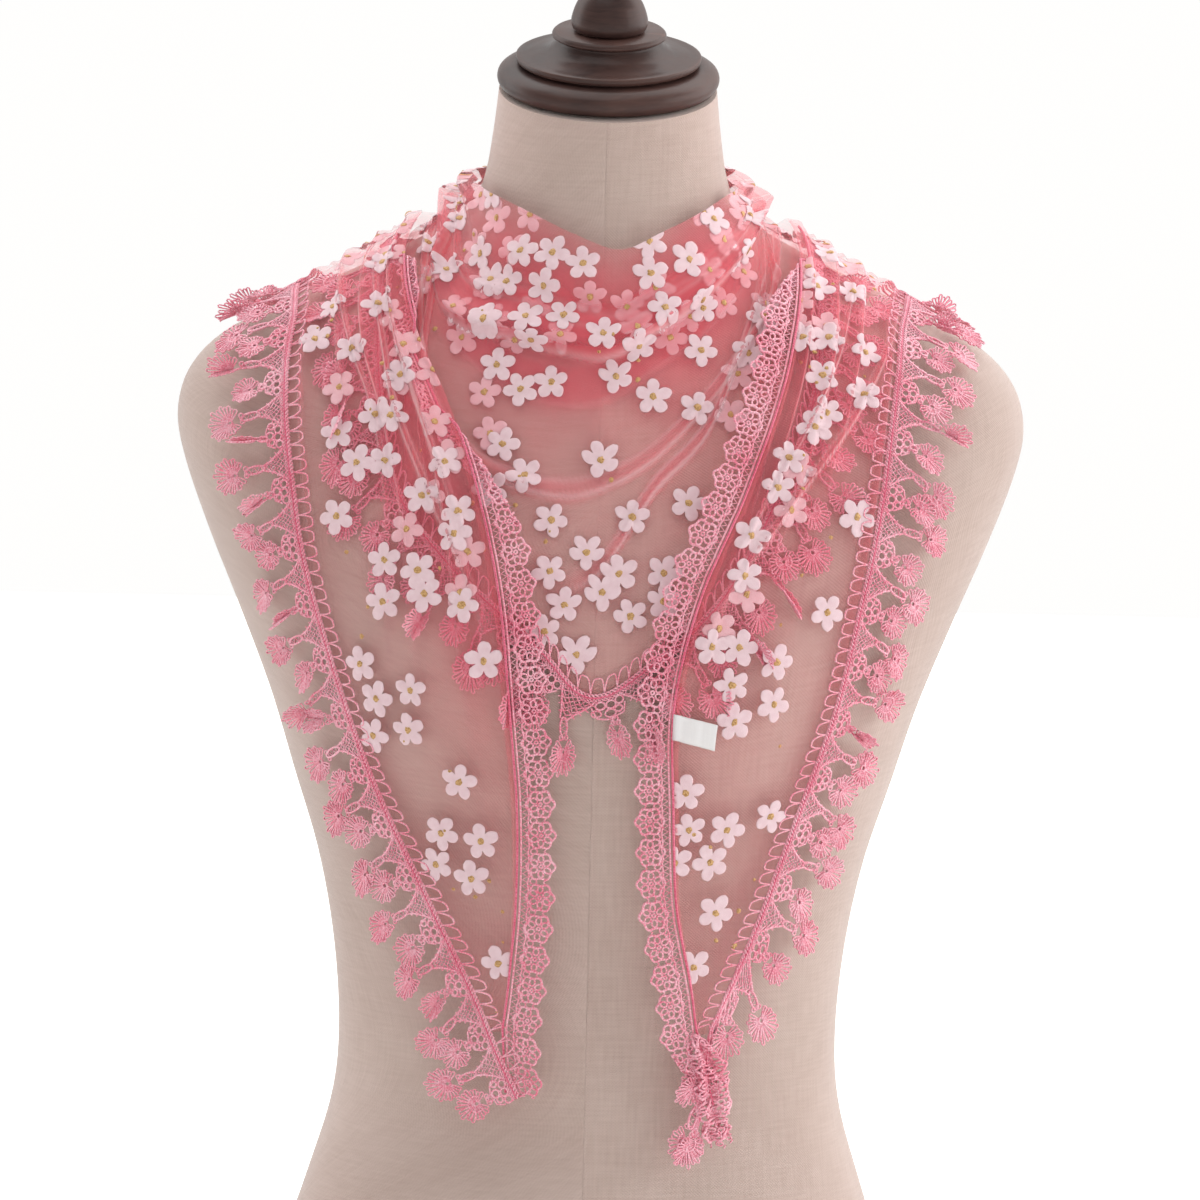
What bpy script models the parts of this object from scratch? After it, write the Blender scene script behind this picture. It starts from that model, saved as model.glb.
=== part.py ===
"""Lace shawl on a limbless dress form, life size.

Metres, +Z up, the form faces -Y, and its flat underside stands on Z = 0.

The shawl is one long flat triangle of net. Its point hangs at the front of the
chest. Each half runs round a side of the neck, the two cross behind the nape,
and the ends come forward over the shoulders and hang as two pointed panels.
Every stretch of cloth is a thin wall over the form, worked out from sections:
a row of a table gives a section's two ends, and the wall between them is laid
on a guide skin a little outside the form, with its folds raised from it.
Tables are in millimetres.
"""
from collections import namedtuple
from math import cos, exp, pi, radians, sin

import bpy
import numpy as np
from mathutils import Euler, Vector
from mathutils.bvhtree import BVHTree

MM = 0.001

# Driving dimensions, in metres
SEAM_GAP = 0.0003          # between two pieces that are sewn together
SEAM_CHORD = 0.0004        # room for the flats of two unlike edges round a bend
POINT_CHORD = 0.0010       # the same where the hem turns more sharply
CLOTH = 0.0012             # thickness of a cloth or lace wall
FORM_SIDES = 30            # facets round the form
FORM_BANDS = 30            # facets down the form
CAP_SIDES = 28             # facets round the turned wood
FINIAL_SIDES = 18
BUST_HEIGHT = 0.466        # the two low mounds of the chest
BUST_SPREAD = 0.068
BUST_RISE = 0.008
BUST_RADIUS = 0.048
NECK_TILT = radians(20)    # the wooden cap leans forward with the neck
LACE_REPEAT = 0.0255       # the wide lace: a long pendant and a short one
LACE_HEADER = 0.0045       # the double cord that the net hangs from
WEB_WIDTH = 0.014          # the web of net above a long pendant
WEB_DEPTH = 0.014
SWAG_DEPTH = 0.0095        # the net between two webs
STEM_WIDTH = 0.0022        # a pendant's stem
SCALLOP_PITCH = 0.014      # the narrow lace: one flower to the next
SCALLOP_BAND = 0.0125      # its straight part
SCALLOP_RISE = 0.0045      # each scallop beyond it
LABEL_WIDTH = 0.017
LABEL_HEIGHT = 0.014
LABEL_THICKNESS = 0.0009
LABEL_RUN = 0.611          # its upper edge's share of the way down the right panel
LABEL_SHARE = 0.01         # its inner edge's share of the way across the panel
SHARP_EDGE = radians(40)   # faces that meet more sharply are shaded apart

# The form, ring by ring from the top of the neck to the flat underside.
# half: half width. front, back: depth from the Z axis. z_*: height of the ring
# at the front, sides and back. pad_*: how far the guide skin stands off there.
Ring = namedtuple("Ring", "half front back z_front z_side z_back pad_front pad_side pad_back")
FORM_RINGS = [
    Ring(50.0, 64.0, 36.0, 719.8, 738.0, 756.2, 0.0, 0.0, 0.0),
    Ring(52.5, 62.0, 42.0, 708.0, 717.0, 727.0, 2.0, 2.0, 2.0),
    Ring(56.0, 60.5, 50.0, 684.0, 698.0, 706.0, 4.0, 4.0, 4.0),
    Ring(63.0, 61.0, 60.0, 660.0, 682.0, 687.0, 6.0, 5.0, 6.0),
    Ring(80.0, 65.0, 71.0, 639.0, 671.0, 668.0, 4.0, 2.0, 4.0),
    Ring(110.0, 72.0, 81.0, 616.0, 656.0, 647.0, 1.0, 0.5, 1.0),
    Ring(145.0, 80.0, 89.0, 592.0, 639.5, 621.0, 0.0, 0.0, 0.0),
    Ring(176.0, 87.0, 95.0, 569.0, 623.0, 596.0, 0.0, 0.0, 0.0),
    Ring(192.0, 93.0, 99.0, 549.0, 606.0, 572.0, 0.0, 0.0, 0.0),
    Ring(197.0, 98.0, 101.0, 529.0, 587.0, 548.0, 0.0, 0.0, 0.0),
    Ring(193.0, 102.0, 102.0, 509.0, 565.0, 523.0, 0.0, 0.0, 0.0),
    Ring(181.0, 104.5, 101.0, 488.0, 532.0, 499.0, 0.0, 0.0, 0.0),
    Ring(166.0, 105.5, 98.5, 465.0, 496.0, 472.0, 0.0, 0.0, 0.0),
    Ring(151.0, 104.0, 94.5, 439.0, 458.0, 443.0, 2.0, 1.0, 0.0),
    Ring(139.0, 100.0, 89.5, 410.0, 420.0, 412.0, 5.0, 2.0, 0.0),
    Ring(127.5, 94.5, 84.0, 378.0, 383.0, 379.0, 8.0, 3.0, 0.0),
    Ring(120.0, 89.0, 79.5, 342.0, 344.0, 342.0, 11.0, 3.0, 0.0),
    Ring(116.5, 86.0, 77.0, 303.0, 303.0, 303.0, 12.0, 2.0, 0.0),
    Ring(119.0, 87.0, 80.0, 268.0, 268.0, 268.0, 10.0, 0.0, 0.0),
    Ring(131.0, 91.5, 91.0, 227.0, 227.0, 227.0, 4.0, 0.0, 0.0),
    Ring(147.0, 98.0, 105.0, 177.0, 177.0, 177.0, 0.0, 0.0, 0.0),
    Ring(157.0, 103.0, 115.0, 122.0, 122.0, 122.0, 0.0, 0.0, 0.0),
    Ring(159.0, 104.0, 117.0, 66.0, 66.0, 66.0, 0.0, 0.0, 0.0),
    Ring(156.0, 102.0, 114.0, 14.0, 14.0, 14.0, 0.0, 0.0, 0.0),
    Ring(152.0, 98.0, 110.0, 0.0, 0.0, 0.0, 0.0, 0.0, 0.0),
]

# A section of cloth: its first end (x, y, z), its far end, and how far the wall
# stands off the guide skin.
Section = namedtuple("Section", "x1 y1 z1 lift1 x2 y2 z2 lift2")

# The front, from the left side of the neck round to the right: neckline to hem.
FRONT_SECTIONS = [
    Section(-66, 5, 700, 2.4, -100, 5, 671, 1.5),
    Section(-60, -18, 695, 2.4, -101, -40, 640, 1.5),
    Section(-54, -34, 690, 2.8, -97, -62, 598, 1.5),
    Section(-44, -47, 685, 3.6, -87, -76, 553, 1.5),
    Section(-30, -57, 678, 4.2, -62, -92, 520, 1.5),
    Section(-12, -65, 669, 4.8, -26, -104, 489, 1.5),
    Section(7, -68, 663, 5.0, -2, -107, 467, 1.5),
    Section(24, -62, 671, 4.8, 24, -105, 481, 1.5),
    Section(40, -52, 680, 4.2, 53, -95, 508, 1.5),
    Section(51, -38, 688, 3.6, 77, -82, 553, 1.5),
    Section(57, -24, 692, 2.8, 93, -65, 596, 1.5),
    Section(62, -12, 696, 2.4, 98, -42, 638, 1.5),
    Section(66, 5, 700, 2.4, 100, 5, 671, 1.5),
]

# Behind the neck: upper edge to lower edge, from the side where the half leaves
# the front to the shoulder that it crosses to. The right half lies outside.
WRAP_LEFT_SECTIONS = [
    Section(-66, 5, 700, 2.4, -100, 5, 671, 1.5),
    Section(-57, 36, 708, 2.4, -84, 40, 678, 1.5),
    Section(-34, 52, 712, 2.4, -50, 72, 672, 1.5),
    Section(0, 62, 706, 2.2, 0, 86, 650, 1.5),
    Section(30, 66, 688, 2.2, 36, 94, 624, 1.5),
    Section(58, 64, 680, 2.6, 78, 92, 608, 1.5),
    Section(80, 44, 677, 9.0, 112, 68, 620, 3.0),
    Section(86, 0, 682, 9.6, 140, 0, 645, 4.6),
]
WRAP_RIGHT_SECTIONS = [
    Section(66, 5, 700, 2.4, 100, 5, 671, 1.5),
    Section(58, 34, 711, 2.4, 78, 40, 689, 1.8),
    Section(42, 50, 716, 2.6, 52, 60, 697, 2.6),
    Section(22, 58, 713, 7.0, 30, 76, 672, 9.6),
    Section(-4, 62, 706, 9.6, -6, 90, 628, 9.6),
    Section(-36, 64, 697, 9.6, -46, 96, 604, 7.0),
    Section(-66, 56, 687, 9.6, -90, 86, 606, 4.6),
    Section(-84, 30, 682, 9.6, -126, 50, 632, 4.6),
    Section(-86, 0, 682, 9.6, -141, 0, 645, 4.6),
]

# The hanging ends, from the top of a shoulder to the tip: inner edge to outer.
END_LEFT_SECTIONS = [
    Section(-86, 0, 682, 9.6, -141, 0, 645, 4.6),
    Section(-84, -28, 656, 9.6, -142, -34, 634, 4.6),
    Section(-78, -52, 620, 9.8, -141, -50, 606, 4.8),
    Section(-66, -68, 590, 10.2, -139, -62, 582, 4.8),
    Section(-52, -82, 551, 10.4, -133, -72, 549, 4.8),
    Section(-42, -94, 507, 8.6, -126, -82, 507, 4.8),
    Section(-37, -100, 463, 6.0, -112, -84, 463, 4.0),
    Section(-32, -100, 419, 4.0, -95, -86, 419, 3.2),
    Section(-32, -100, 374, 3.2, -73, -90, 374, 3.0),
    Section(-35, -98, 336, 3.0, -53, -94, 336, 3.0),
    Section(-38, -98, 314, 3.0, -43, -96, 314, 3.0),
]
END_RIGHT_SECTIONS = [
    Section(86, 0, 682, 9.6, 140, 0, 645, 4.6),
    Section(86, -28, 656, 9.6, 137, -34, 634, 4.6),
    Section(83, -52, 620, 9.8, 132, -50, 608, 4.8),
    Section(76, -68, 588, 10.2, 128, -62, 584, 4.8),
    Section(63, -82, 551, 10.4, 122, -72, 549, 4.8),
    Section(45, -94, 507, 8.6, 114, -82, 507, 4.8),
    Section(35, -100, 463, 6.0, 105, -84, 463, 4.0),
    Section(35, -100, 419, 4.0, 93, -86, 419, 3.2),
    Section(38, -100, 374, 3.2, 81, -90, 374, 3.0),
    Section(46, -98, 338, 3.0, 67, -94, 338, 3.0),
    Section(51, -98, 314, 3.0, 56, -96, 314, 3.0),
]

# A fold runs along a stretch. at: its share of the section's length, at five even
# steps from the stretch's start to its end. width: also a share. rise: its height.
Fold = namedtuple("Fold", "at width rise")
FRONT_FOLDS = [
    Fold((0.08, 0.07, 0.06, 0.07, 0.08), 0.10, (3.0, 4.0, 6.0, 4.0, 3.0)),
    Fold((0.31, 0.28, 0.24, 0.27, 0.31), 0.10, (3.6, 5.0, 9.0, 5.0, 3.6)),
    Fold((0.54, 0.51, 0.49, 0.48, 0.54), 0.10, (3.6, 4.6, 7.5, 4.0, 3.6)),
    Fold((0.77, 0.74, 0.74, 0.66, 0.77), 0.10, (3.2, 3.4, 1.0, 4.6, 3.2)),
    Fold((0.94, 0.94, 0.95, 0.90, 0.94), 0.10, (2.6, 0.6, 0.0, 1.0, 2.6)),
]
WRAP_FOLDS = [
    Fold((0.08, 0.12, 0.12, 0.11, 0.10), 0.11, (3.0, 4.0, 4.4, 4.4, 4.0)),
    Fold((0.31, 0.36, 0.38, 0.37, 0.36), 0.11, (3.6, 4.0, 4.6, 4.4, 4.4)),
    Fold((0.54, 0.60, 0.64, 0.62, 0.62), 0.11, (3.6, 3.6, 4.2, 4.4, 4.4)),
    Fold((0.77, 0.84, 0.88, 0.88, 0.88), 0.11, (3.2, 2.8, 3.0, 3.6, 3.6)),
    Fold((0.94, 0.96, 0.98, 0.98, 0.98), 0.11, (2.6, 0.6, 0.0, 0.0, 0.0)),
]
END_LEFT_FOLDS = [
    Fold((0.10, 0.10, 0.08, 0.10, 0.30), 0.11, (4.0, 4.4, 3.0, 0.6, 0.0)),
    Fold((0.36, 0.30, 0.26, 0.30, 0.40), 0.11, (4.4, 4.8, 3.0, 0.4, 0.0)),
    Fold((0.62, 0.52, 0.46, 0.50, 0.50), 0.11, (4.4, 4.0, 1.6, 0.0, 0.0)),
    Fold((0.88, 0.86, 0.84, 0.80, 0.60), 0.11, (3.6, 2.0, 0.8, 0.0, 0.0)),
]
END_RIGHT_FOLDS = [
    Fold((0.10, 0.12, 0.12, 0.10, 0.30), 0.11, (4.0, 3.6, 2.4, 0.6, 0.0)),
    Fold((0.36, 0.34, 0.32, 0.30, 0.35), 0.11, (4.4, 4.4, 3.4, 0.6, 0.0)),
    Fold((0.62, 0.56, 0.50, 0.50, 0.50), 0.11, (4.4, 4.6, 2.4, 0.0, 0.0)),
    Fold((0.88, 0.86, 0.84, 0.80, 0.70), 0.11, (3.6, 2.6, 1.0, 0.0, 0.0)),
]

# Turned wood above the neck: radius and height along the tilted axis.
CAP_PROFILE = [
    (1, 27), (25, 27), (26, 26), (26, 24.5), (23.5, 23), (28, 18.5), (36, 16.5), (41.5, 16),
    (42.5, 15), (42, 13), (39.5, 12), (45, 11.2), (49.5, 9), (51, 6), (50.5, 3), (48.5, 0.6),
    (46, 0), (1, 0),
]
FINIAL_PROFILE = [
    (1, 71), (4, 70.5), (6, 68.5), (6, 66.5), (4.5, 65), (7.5, 63.5), (11, 60), (12.5, 55),
    (11.5, 50), (8.5, 46.8), (8.5, 46), (11.5, 44.5), (15, 40), (17.2, 34), (17.5, 30.5),
    (16.5, 28), (15, 27.3), (1, 27.3),
]

# A stretch's surface is a grid: cells along it and across it, and how much of its
# run is left off at the start and at the end, for the seams.
Stretch = namedtuple("Stretch", "sections folds runs across trim_start trim_end")
FRONT = Stretch(FRONT_SECTIONS, FRONT_FOLDS, 32, 16, 0.0, 0.0)
WRAPS = {
    "left": Stretch(WRAP_LEFT_SECTIONS, WRAP_FOLDS, 20, 11, 0.0055, 0.0008),
    "right": Stretch(WRAP_RIGHT_SECTIONS, WRAP_FOLDS, 20, 11, 0.0055, 0.0008),
}
ENDS = {
    "left": Stretch(END_LEFT_SECTIONS, END_LEFT_FOLDS, 20, 11, 0.0006, 0.0),
    "right": Stretch(END_RIGHT_SECTIONS, END_RIGHT_FOLDS, 20, 11, 0.0006, 0.0),
}

# A length of lace on a stretch: the share of the section that it is sewn to, the
# shares of the run where it starts and ends, how far its pendants swing from square
# to the edge towards straight down, over what length they turn at a tip to point
# along the edge, and the room it needs at its seam.
Hem = namedtuple("Hem", "share start end droop turn chord")
FRONT_HEM = Hem(1, 0.03, 0.97, 0.5, 0.0, POINT_CHORD)
END_HEM = Hem(1, 0.006, 0.985, 0.15, 0.05, SEAM_CHORD)
INNER_HEM = Hem(0, 0.006, 0.985, 0.0, 0.0, SEAM_CHORD)
BACK_LEFT_HEM = Hem(1, 0.40, 0.99, 0.0, 0.0, POINT_CHORD)
BACK_RIGHT_HEM = Hem(1, 0.55, 0.99, 0.0, 0.0, POINT_CHORD)

# A pendant's stem, its leaf's length and width, and the leaf's outline from its root:
# shares of its length, and of its half width there.
Pendant = namedtuple("Pendant", "stem length width")
LONG_LEAF = Pendant(0.012, 0.015, 0.0105)
SHORT_LEAF = Pendant(0.005, 0.011, 0.012)
LEAF_OUTLINE = [(0.40, 1.0), (0.82, 0.74)]

# One scallop: shares of its pitch, and how far the lace reaches out there.
SCALLOP_OUTLINE = [(0.0, SCALLOP_BAND), (0.26, SCALLOP_BAND + SCALLOP_RISE),
                   (0.74, SCALLOP_BAND + SCALLOP_RISE)]

COLOURS = {
    "linen": ((0.78, 0.71, 0.64), 0.9),
    "wood": ((0.035, 0.024, 0.020), 0.35),
    "net": ((0.86, 0.36, 0.38), 0.8),
    "lace": ((0.84, 0.27, 0.32), 0.75),
    "label": ((0.90, 0.88, 0.88), 0.8),
}


def clear_scene():
    """Remove every object that the file opens with."""
    for obj in list(bpy.data.objects):
        bpy.data.objects.remove(obj, do_unlink=True)


def material(name):
    """The named finish, made once."""
    found = bpy.data.materials.get(name)
    if found:
        return found
    colour, roughness = COLOURS[name]
    made = bpy.data.materials.new(name)
    made.use_nodes = True
    shader = made.node_tree.nodes["Principled BSDF"]
    shader.inputs["Base Color"].default_value = (*colour, 1.0)
    shader.inputs["Roughness"].default_value = roughness
    shader.inputs["Metallic"].default_value = 0.0
    return made


def new_object(name, mesh, finish, group):
    """A smooth-shaded object of that mesh in the part's collection."""
    obj = bpy.data.objects.new(name, mesh)
    mesh.materials.append(material(finish))
    mesh.shade_smooth()
    mesh.set_sharp_from_angle(angle=SHARP_EDGE)
    group.objects.link(obj)
    return obj


def between(rows, place):
    """The row at a fractional index, on a smooth curve through all of them."""
    table = np.asarray(rows, dtype=float)
    place = min(max(place, 0.0), len(table) - 1.0)
    step = min(int(place), len(table) - 2)
    share = place - step
    before = table[max(step - 1, 0)]
    start = table[step]
    end = table[step + 1]
    after = table[min(step + 2, len(table) - 1)]
    curve = 2 * start + (end - before) * share
    curve = curve + (2 * before - 5 * start + 4 * end - after) * share ** 2
    curve = curve + (3 * start - before - 3 * end + after) * share ** 3
    return curve / 2


def form_point(ring, angle, padded=False):
    """A point of the form, or of the guide skin, on a ring at an angle from -Y."""
    row = Ring(*between(FORM_RINGS, ring))
    ahead = cos(angle)
    aside = sin(angle)
    facing = max(ahead, 0.0) ** 2
    behind = max(-ahead, 0.0) ** 2
    pad = row.pad_front * facing + row.pad_side * aside ** 2 + row.pad_back * behind
    pad = pad if padded else 0.0
    x = (row.half + pad) * aside
    y = (row.back - row.front) / 2 - ((row.front + row.back) / 2 + pad) * ahead
    tilt = (row.z_front - row.z_back) / 2
    droop = (row.z_front + row.z_back) / 2 - row.z_side
    spot = Vector((x, y, row.z_side + tilt * ahead + droop * ahead ** 2)) * MM
    for side in (-1, 1):
        away = (spot.x - side * BUST_SPREAD) ** 2 + (spot.z - BUST_HEIGHT) ** 2
        spot.y -= BUST_RISE * exp(-away / BUST_RADIUS ** 2) * max(ahead, 0.0)
    return spot


def ring_faces(rings, sides):
    """Quads between rings of points that close on themselves, facing out."""
    faces = []
    for ring in range(rings - 1):
        for side in range(sides):
            after = (side + 1) % sides
            low = (ring + 1) * sides
            high = ring * sides
            faces.append((high + side, low + side, low + after, high + after))
    return faces


def form_mesh(bands, sides, padded=False):
    """The form's skin as points and faces, open at the top and the underside."""
    last = len(FORM_RINGS) - 1
    points = []
    for band in range(bands + 1):
        for side in range(sides):
            angle = 2 * pi * side / sides
            points.append(form_point(last * band / bands, angle, padded))
    return points, ring_faces(bands + 1, sides)


def build_form(group):
    """The linen torso: one closed loft with a flat neck top and underside."""
    points, faces = form_mesh(FORM_BANDS, FORM_SIDES)
    first = list(range(FORM_SIDES))
    last = [len(points) - FORM_SIDES + side for side in range(FORM_SIDES)]
    mesh = bpy.data.meshes.new("form_torso")
    mesh.from_pydata(points, [], faces + [first, last[::-1]])
    return new_object("form_torso", mesh, "linen", group)


def build_turned(name, profile, sides, group):
    """A turned wooden piece on the neck's tilted axis."""
    mesh = bpy.data.meshes.new(name)
    points = [(radius * MM, 0.0, height * MM) for radius, height in profile]
    points = [(0.0, 0.0, points[0][2])] + points[1:-1] + [(0.0, 0.0, points[-1][2])]
    mesh.from_pydata(points, [(step, step + 1) for step in range(len(points) - 1)], [])
    obj = new_object(name, mesh, "wood", group)
    screw = obj.modifiers.new("turn", "SCREW")
    screw.steps = sides
    screw.render_steps = sides
    screw.use_merge_vertices = True
    screw.merge_threshold = 0.00001
    screw.use_smooth_shade = True
    top = FORM_RINGS[0]
    obj.rotation_euler = Euler((NECK_TILT, 0, 0))
    middle = (top.back - top.front) / 2 * MM
    obj.location = (0, middle, top.z_side * MM)
    lift = SEAM_GAP * 2
    obj.location.z += lift * cos(NECK_TILT)
    obj.location.y -= lift * sin(NECK_TILT)
    return obj


class Guide:
    """The smooth skin that the cloth is laid over."""

    BANDS = 150
    SIDES = 120

    def __init__(self):
        points, faces = form_mesh(self.BANDS, self.SIDES, padded=True)
        mesh = bpy.data.meshes.new("guide")
        mesh.from_pydata(points, [], faces)
        self.points = points
        self.faces = faces
        self.normals = [Vector(vertex.normal) for vertex in mesh.vertices]
        self.tree = BVHTree.FromPolygons(points, faces)
        bpy.data.meshes.remove(mesh)

    def foot(self, near):
        """The nearest point of the skin, and the skin's normal there."""
        spot, _, face, _ = self.tree.find_nearest(near)
        corners = self.faces[face]
        normal = Vector((0, 0, 0))
        for corner in corners:
            weight = 1 / ((self.points[corner] - spot).length + MM)
            normal += self.normals[corner] * weight
        return spot, normal.normalized()

    def lay(self, near, lift):
        """The point at that lift above the skin, square to it, nearest to near."""
        spot, normal = self.foot(near)
        return spot + normal * lift


GUIDE = Guide()


def fold_rise(folds, run, share):
    """How far the folds raise the cloth at a share of a section, in metres."""
    rise = 0.0
    for fold in folds:
        step = run * (len(fold.at) - 1)
        at, high = between(list(zip(fold.at, fold.rise)), step)
        away = abs(share - at) / fold.width
        if away < 1:
            rise += max(high, 0.0) * cos(away * pi / 2) ** 2
    return rise * MM


def section_at(stretch, run):
    """The section at a share of the way along a stretch."""
    return Section(*between(stretch.sections, run * (len(stretch.sections) - 1)))


def cloth_point(stretch, run, share, out=0.0):
    """A point of a stretch: run along it, share of the section across it."""
    row = section_at(stretch, run)
    start = Vector((row.x1, row.y1, row.z1)) * MM
    end = Vector((row.x2, row.y2, row.z2)) * MM
    lift = (row.lift1 + (row.lift2 - row.lift1) * share) * MM
    rise = fold_rise(stretch.folds, run, share)
    return GUIDE.lay(start.lerp(end, share), lift + rise + out)


def thicken(obj, thickness=CLOTH):
    """Give an open surface its wall, half to each side."""
    wall = obj.modifiers.new("wall", "SOLIDIFY")
    wall.thickness = thickness
    wall.offset = 0.0
    wall.use_even_offset = True
    return obj


def grid_faces(columns, rows):
    """Quads of a grid whose points run across the columns, row after row."""
    faces = []
    for row in range(rows):
        for column in range(columns):
            low = row * (columns + 1) + column
            high = low + columns + 1
            faces.append((low, low + 1, high + 1, high))
    return faces


def build_cloth(name, stretch, group):
    """A stretch of net: a grid of points over its sections, then its wall."""
    kept = 1 - stretch.trim_start - stretch.trim_end
    points = []
    for step in range(stretch.runs + 1):
        run = stretch.trim_start + kept * step / stretch.runs
        for place in range(stretch.across + 1):
            points.append(cloth_point(stretch, run, place / stretch.across))
    mesh = bpy.data.meshes.new(name)
    mesh.from_pydata(points, [], grid_faces(stretch.across, stretch.runs))
    return thicken(new_object(name, mesh, "net", group))


class Edge:
    """The edge that a hem is sewn to: places along it, and outward over the skin."""

    SAMPLES = 160
    REACH = 5                  # samples each way that give the edge's direction
    INWARD = 0.15              # a share of the section, to tell inward from outward
    SETTLE = 0.010             # the lace comes down from a fold over this width
    TIP_TURN = 0.85            # how far the last pendant turns to lie along the edge

    def __init__(self, stretch, hem):
        self.droop = hem.droop
        self.turn = hem.turn
        self.seam = SEAM_GAP + hem.chord
        self.spots = []
        self.inner = []
        self.lifts = []
        inward = 1 - self.INWARD if hem.share else self.INWARD
        for step in range(self.SAMPLES + 1):
            run = hem.start + (hem.end - hem.start) * step / self.SAMPLES
            row = section_at(stretch, run)
            self.spots.append(cloth_point(stretch, run, hem.share))
            self.inner.append(cloth_point(stretch, run, inward))
            self.lifts.append((row.lift2 if hem.share else row.lift1) * MM)
        self.gone = [0.0]
        for before, after in zip(self.spots, self.spots[1:]):
            self.gone.append(self.gone[-1] + (after - before).length)
        self.length = self.gone[-1]

    def place(self, along, outward, fallen=0.0, aside=0.0):
        """The point at a distance along the edge and out from it. A pendant then
        hangs from there: fallen down its own length, aside of its middle."""
        step = min(max(int(np.searchsorted(self.gone, along)) - 1, 0), self.SAMPLES - 1)
        share = (along - self.gone[step]) / (self.gone[step + 1] - self.gone[step])
        spot = self.spots[step].lerp(self.spots[step + 1], share)
        foot, normal = GUIDE.foot(spot)
        ahead = self.spots[min(step + self.REACH, self.SAMPLES)]
        ahead = (ahead - self.spots[max(step + 1 - self.REACH, 0)]).normalized()
        out = ahead.cross(normal).normalized()
        if out.dot(spot - self.inner[step]) < 0:
            out = -out
        left = max(self.length - along, 0.0)
        if left < self.turn:
            out = out.lerp(ahead, self.TIP_TURN * (1 - left / self.turn)).normalized()
        down = Vector((0, 0, -1))
        down -= normal * down.dot(normal)
        fall = out.lerp(down, self.droop).normalized()
        side = normal.cross(fall)
        if side.dot(ahead) < 0:
            side = -side
        height = (spot - foot).length
        settled = min(outward / self.SETTLE, 1.0)
        target = spot + out * outward + fall * fallen + side * aside
        return GUIDE.lay(target, height + (self.lifts[step] - height) * settled)


def leaf_outline(leaf):
    """A pendant's points, root to tip: how far it has fallen, and how far aside."""
    pairs = [(leaf.stem, STEM_WIDTH / 2)]
    for down, wide in LEAF_OUTLINE:
        pairs.append((leaf.stem + down * leaf.length, wide * leaf.width / 2))
    outline = []
    for fallen, aside in pairs:
        outline += [(fallen, -aside), (fallen, aside)]
    return outline + [(leaf.stem + leaf.length, 0.0)]


def build_leaf_lace(name, edge, group):
    """The wide lace, repeat after repeat: a web that narrows to the stem of a long
    pendant, then a shallower swag of net that carries a short one.

    Each web and each swag is one face from the seam to its own outline."""
    count = round(edge.length / LACE_REPEAT)
    repeat = edge.length / count
    points = []
    faces = []

    def pendant(middle, depth, leaf):
        """A stem's two root points, and the leaf that grows from them."""
        first = len(points)
        for aside in (-STEM_WIDTH / 2, STEM_WIDTH / 2):
            points.append(edge.place(middle + aside, depth))
        for fallen, aside in leaf_outline(leaf):
            points.append(edge.place(middle, depth, fallen, aside))
        for low in (first, first + 2, first + 4):
            faces.append((low, low + 1, low + 3, low + 2))
        faces.append((first + 6, first + 7, first + 8))
        return first, first + 1

    def across(along):
        """The lace's seam and header edge at one place."""
        points.append(edge.place(along, edge.seam))
        points.append(edge.place(along, LACE_HEADER))
        return len(points) - 2, len(points) - 1

    start = across(0.0)
    for step in range(count):
        web_end = step * repeat + WEB_WIDTH
        after = (step + 1) * repeat
        middle = across(web_end)
        long_root = pendant(web_end - WEB_WIDTH / 2, WEB_DEPTH, LONG_LEAF)
        short_root = pendant((web_end + after) / 2, SWAG_DEPTH, SHORT_LEAF)
        end = across(after)
        faces.append((start[0], middle[0], middle[1], long_root[1], long_root[0], start[1]))
        faces.append((middle[0], end[0], end[1], short_root[1], short_root[0], middle[1]))
        start = end
    mesh = bpy.data.meshes.new(name)
    mesh.from_pydata(points, [], faces)
    return thicken(new_object(name, mesh, "lace", group))


def build_scallop_lace(name, edge, group):
    """The narrow lace: a band whose outer edge rises in a row of scallops."""
    count = round(edge.length / SCALLOP_PITCH)
    pitch = edge.length / count
    points = []
    for step in range(count):
        for share, depth in SCALLOP_OUTLINE:
            along = (step + share) * pitch
            points.append(edge.place(along, edge.seam))
            points.append(edge.place(along, depth))
    points.append(edge.place(edge.length, edge.seam))
    points.append(edge.place(edge.length, SCALLOP_BAND))
    mesh = bpy.data.meshes.new(name)
    mesh.from_pydata(points, [], grid_faces(1, count * len(SCALLOP_OUTLINE)))
    return thicken(new_object(name, mesh, "lace", group))


def build_label(stretch, group):
    """The blank label: a patch of tape sewn flat on the panel by its inner seam."""
    down, wide = 2, 3
    row = section_at(stretch, LABEL_RUN)
    across = Vector((row.x2 - row.x1, row.y2 - row.y1, row.z2 - row.z1)).length * MM
    nudge = 0.01
    further = cloth_point(stretch, LABEL_RUN + nudge, 0)
    reach = (further - cloth_point(stretch, LABEL_RUN, 0)).length / nudge
    out = CLOTH / 2 + SEAM_GAP + SEAM_CHORD + LABEL_THICKNESS / 2
    points = []
    for step in range(down + 1):
        for place in range(wide + 1):
            run = LABEL_RUN + LABEL_HEIGHT / reach * step / down
            share = LABEL_SHARE + LABEL_WIDTH / across * place / wide
            points.append(cloth_point(stretch, run, share, out))
    mesh = bpy.data.meshes.new("label")
    mesh.from_pydata(points, [], grid_faces(wide, down))
    return thicken(new_object("label", mesh, "label", group), LABEL_THICKNESS)


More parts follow.
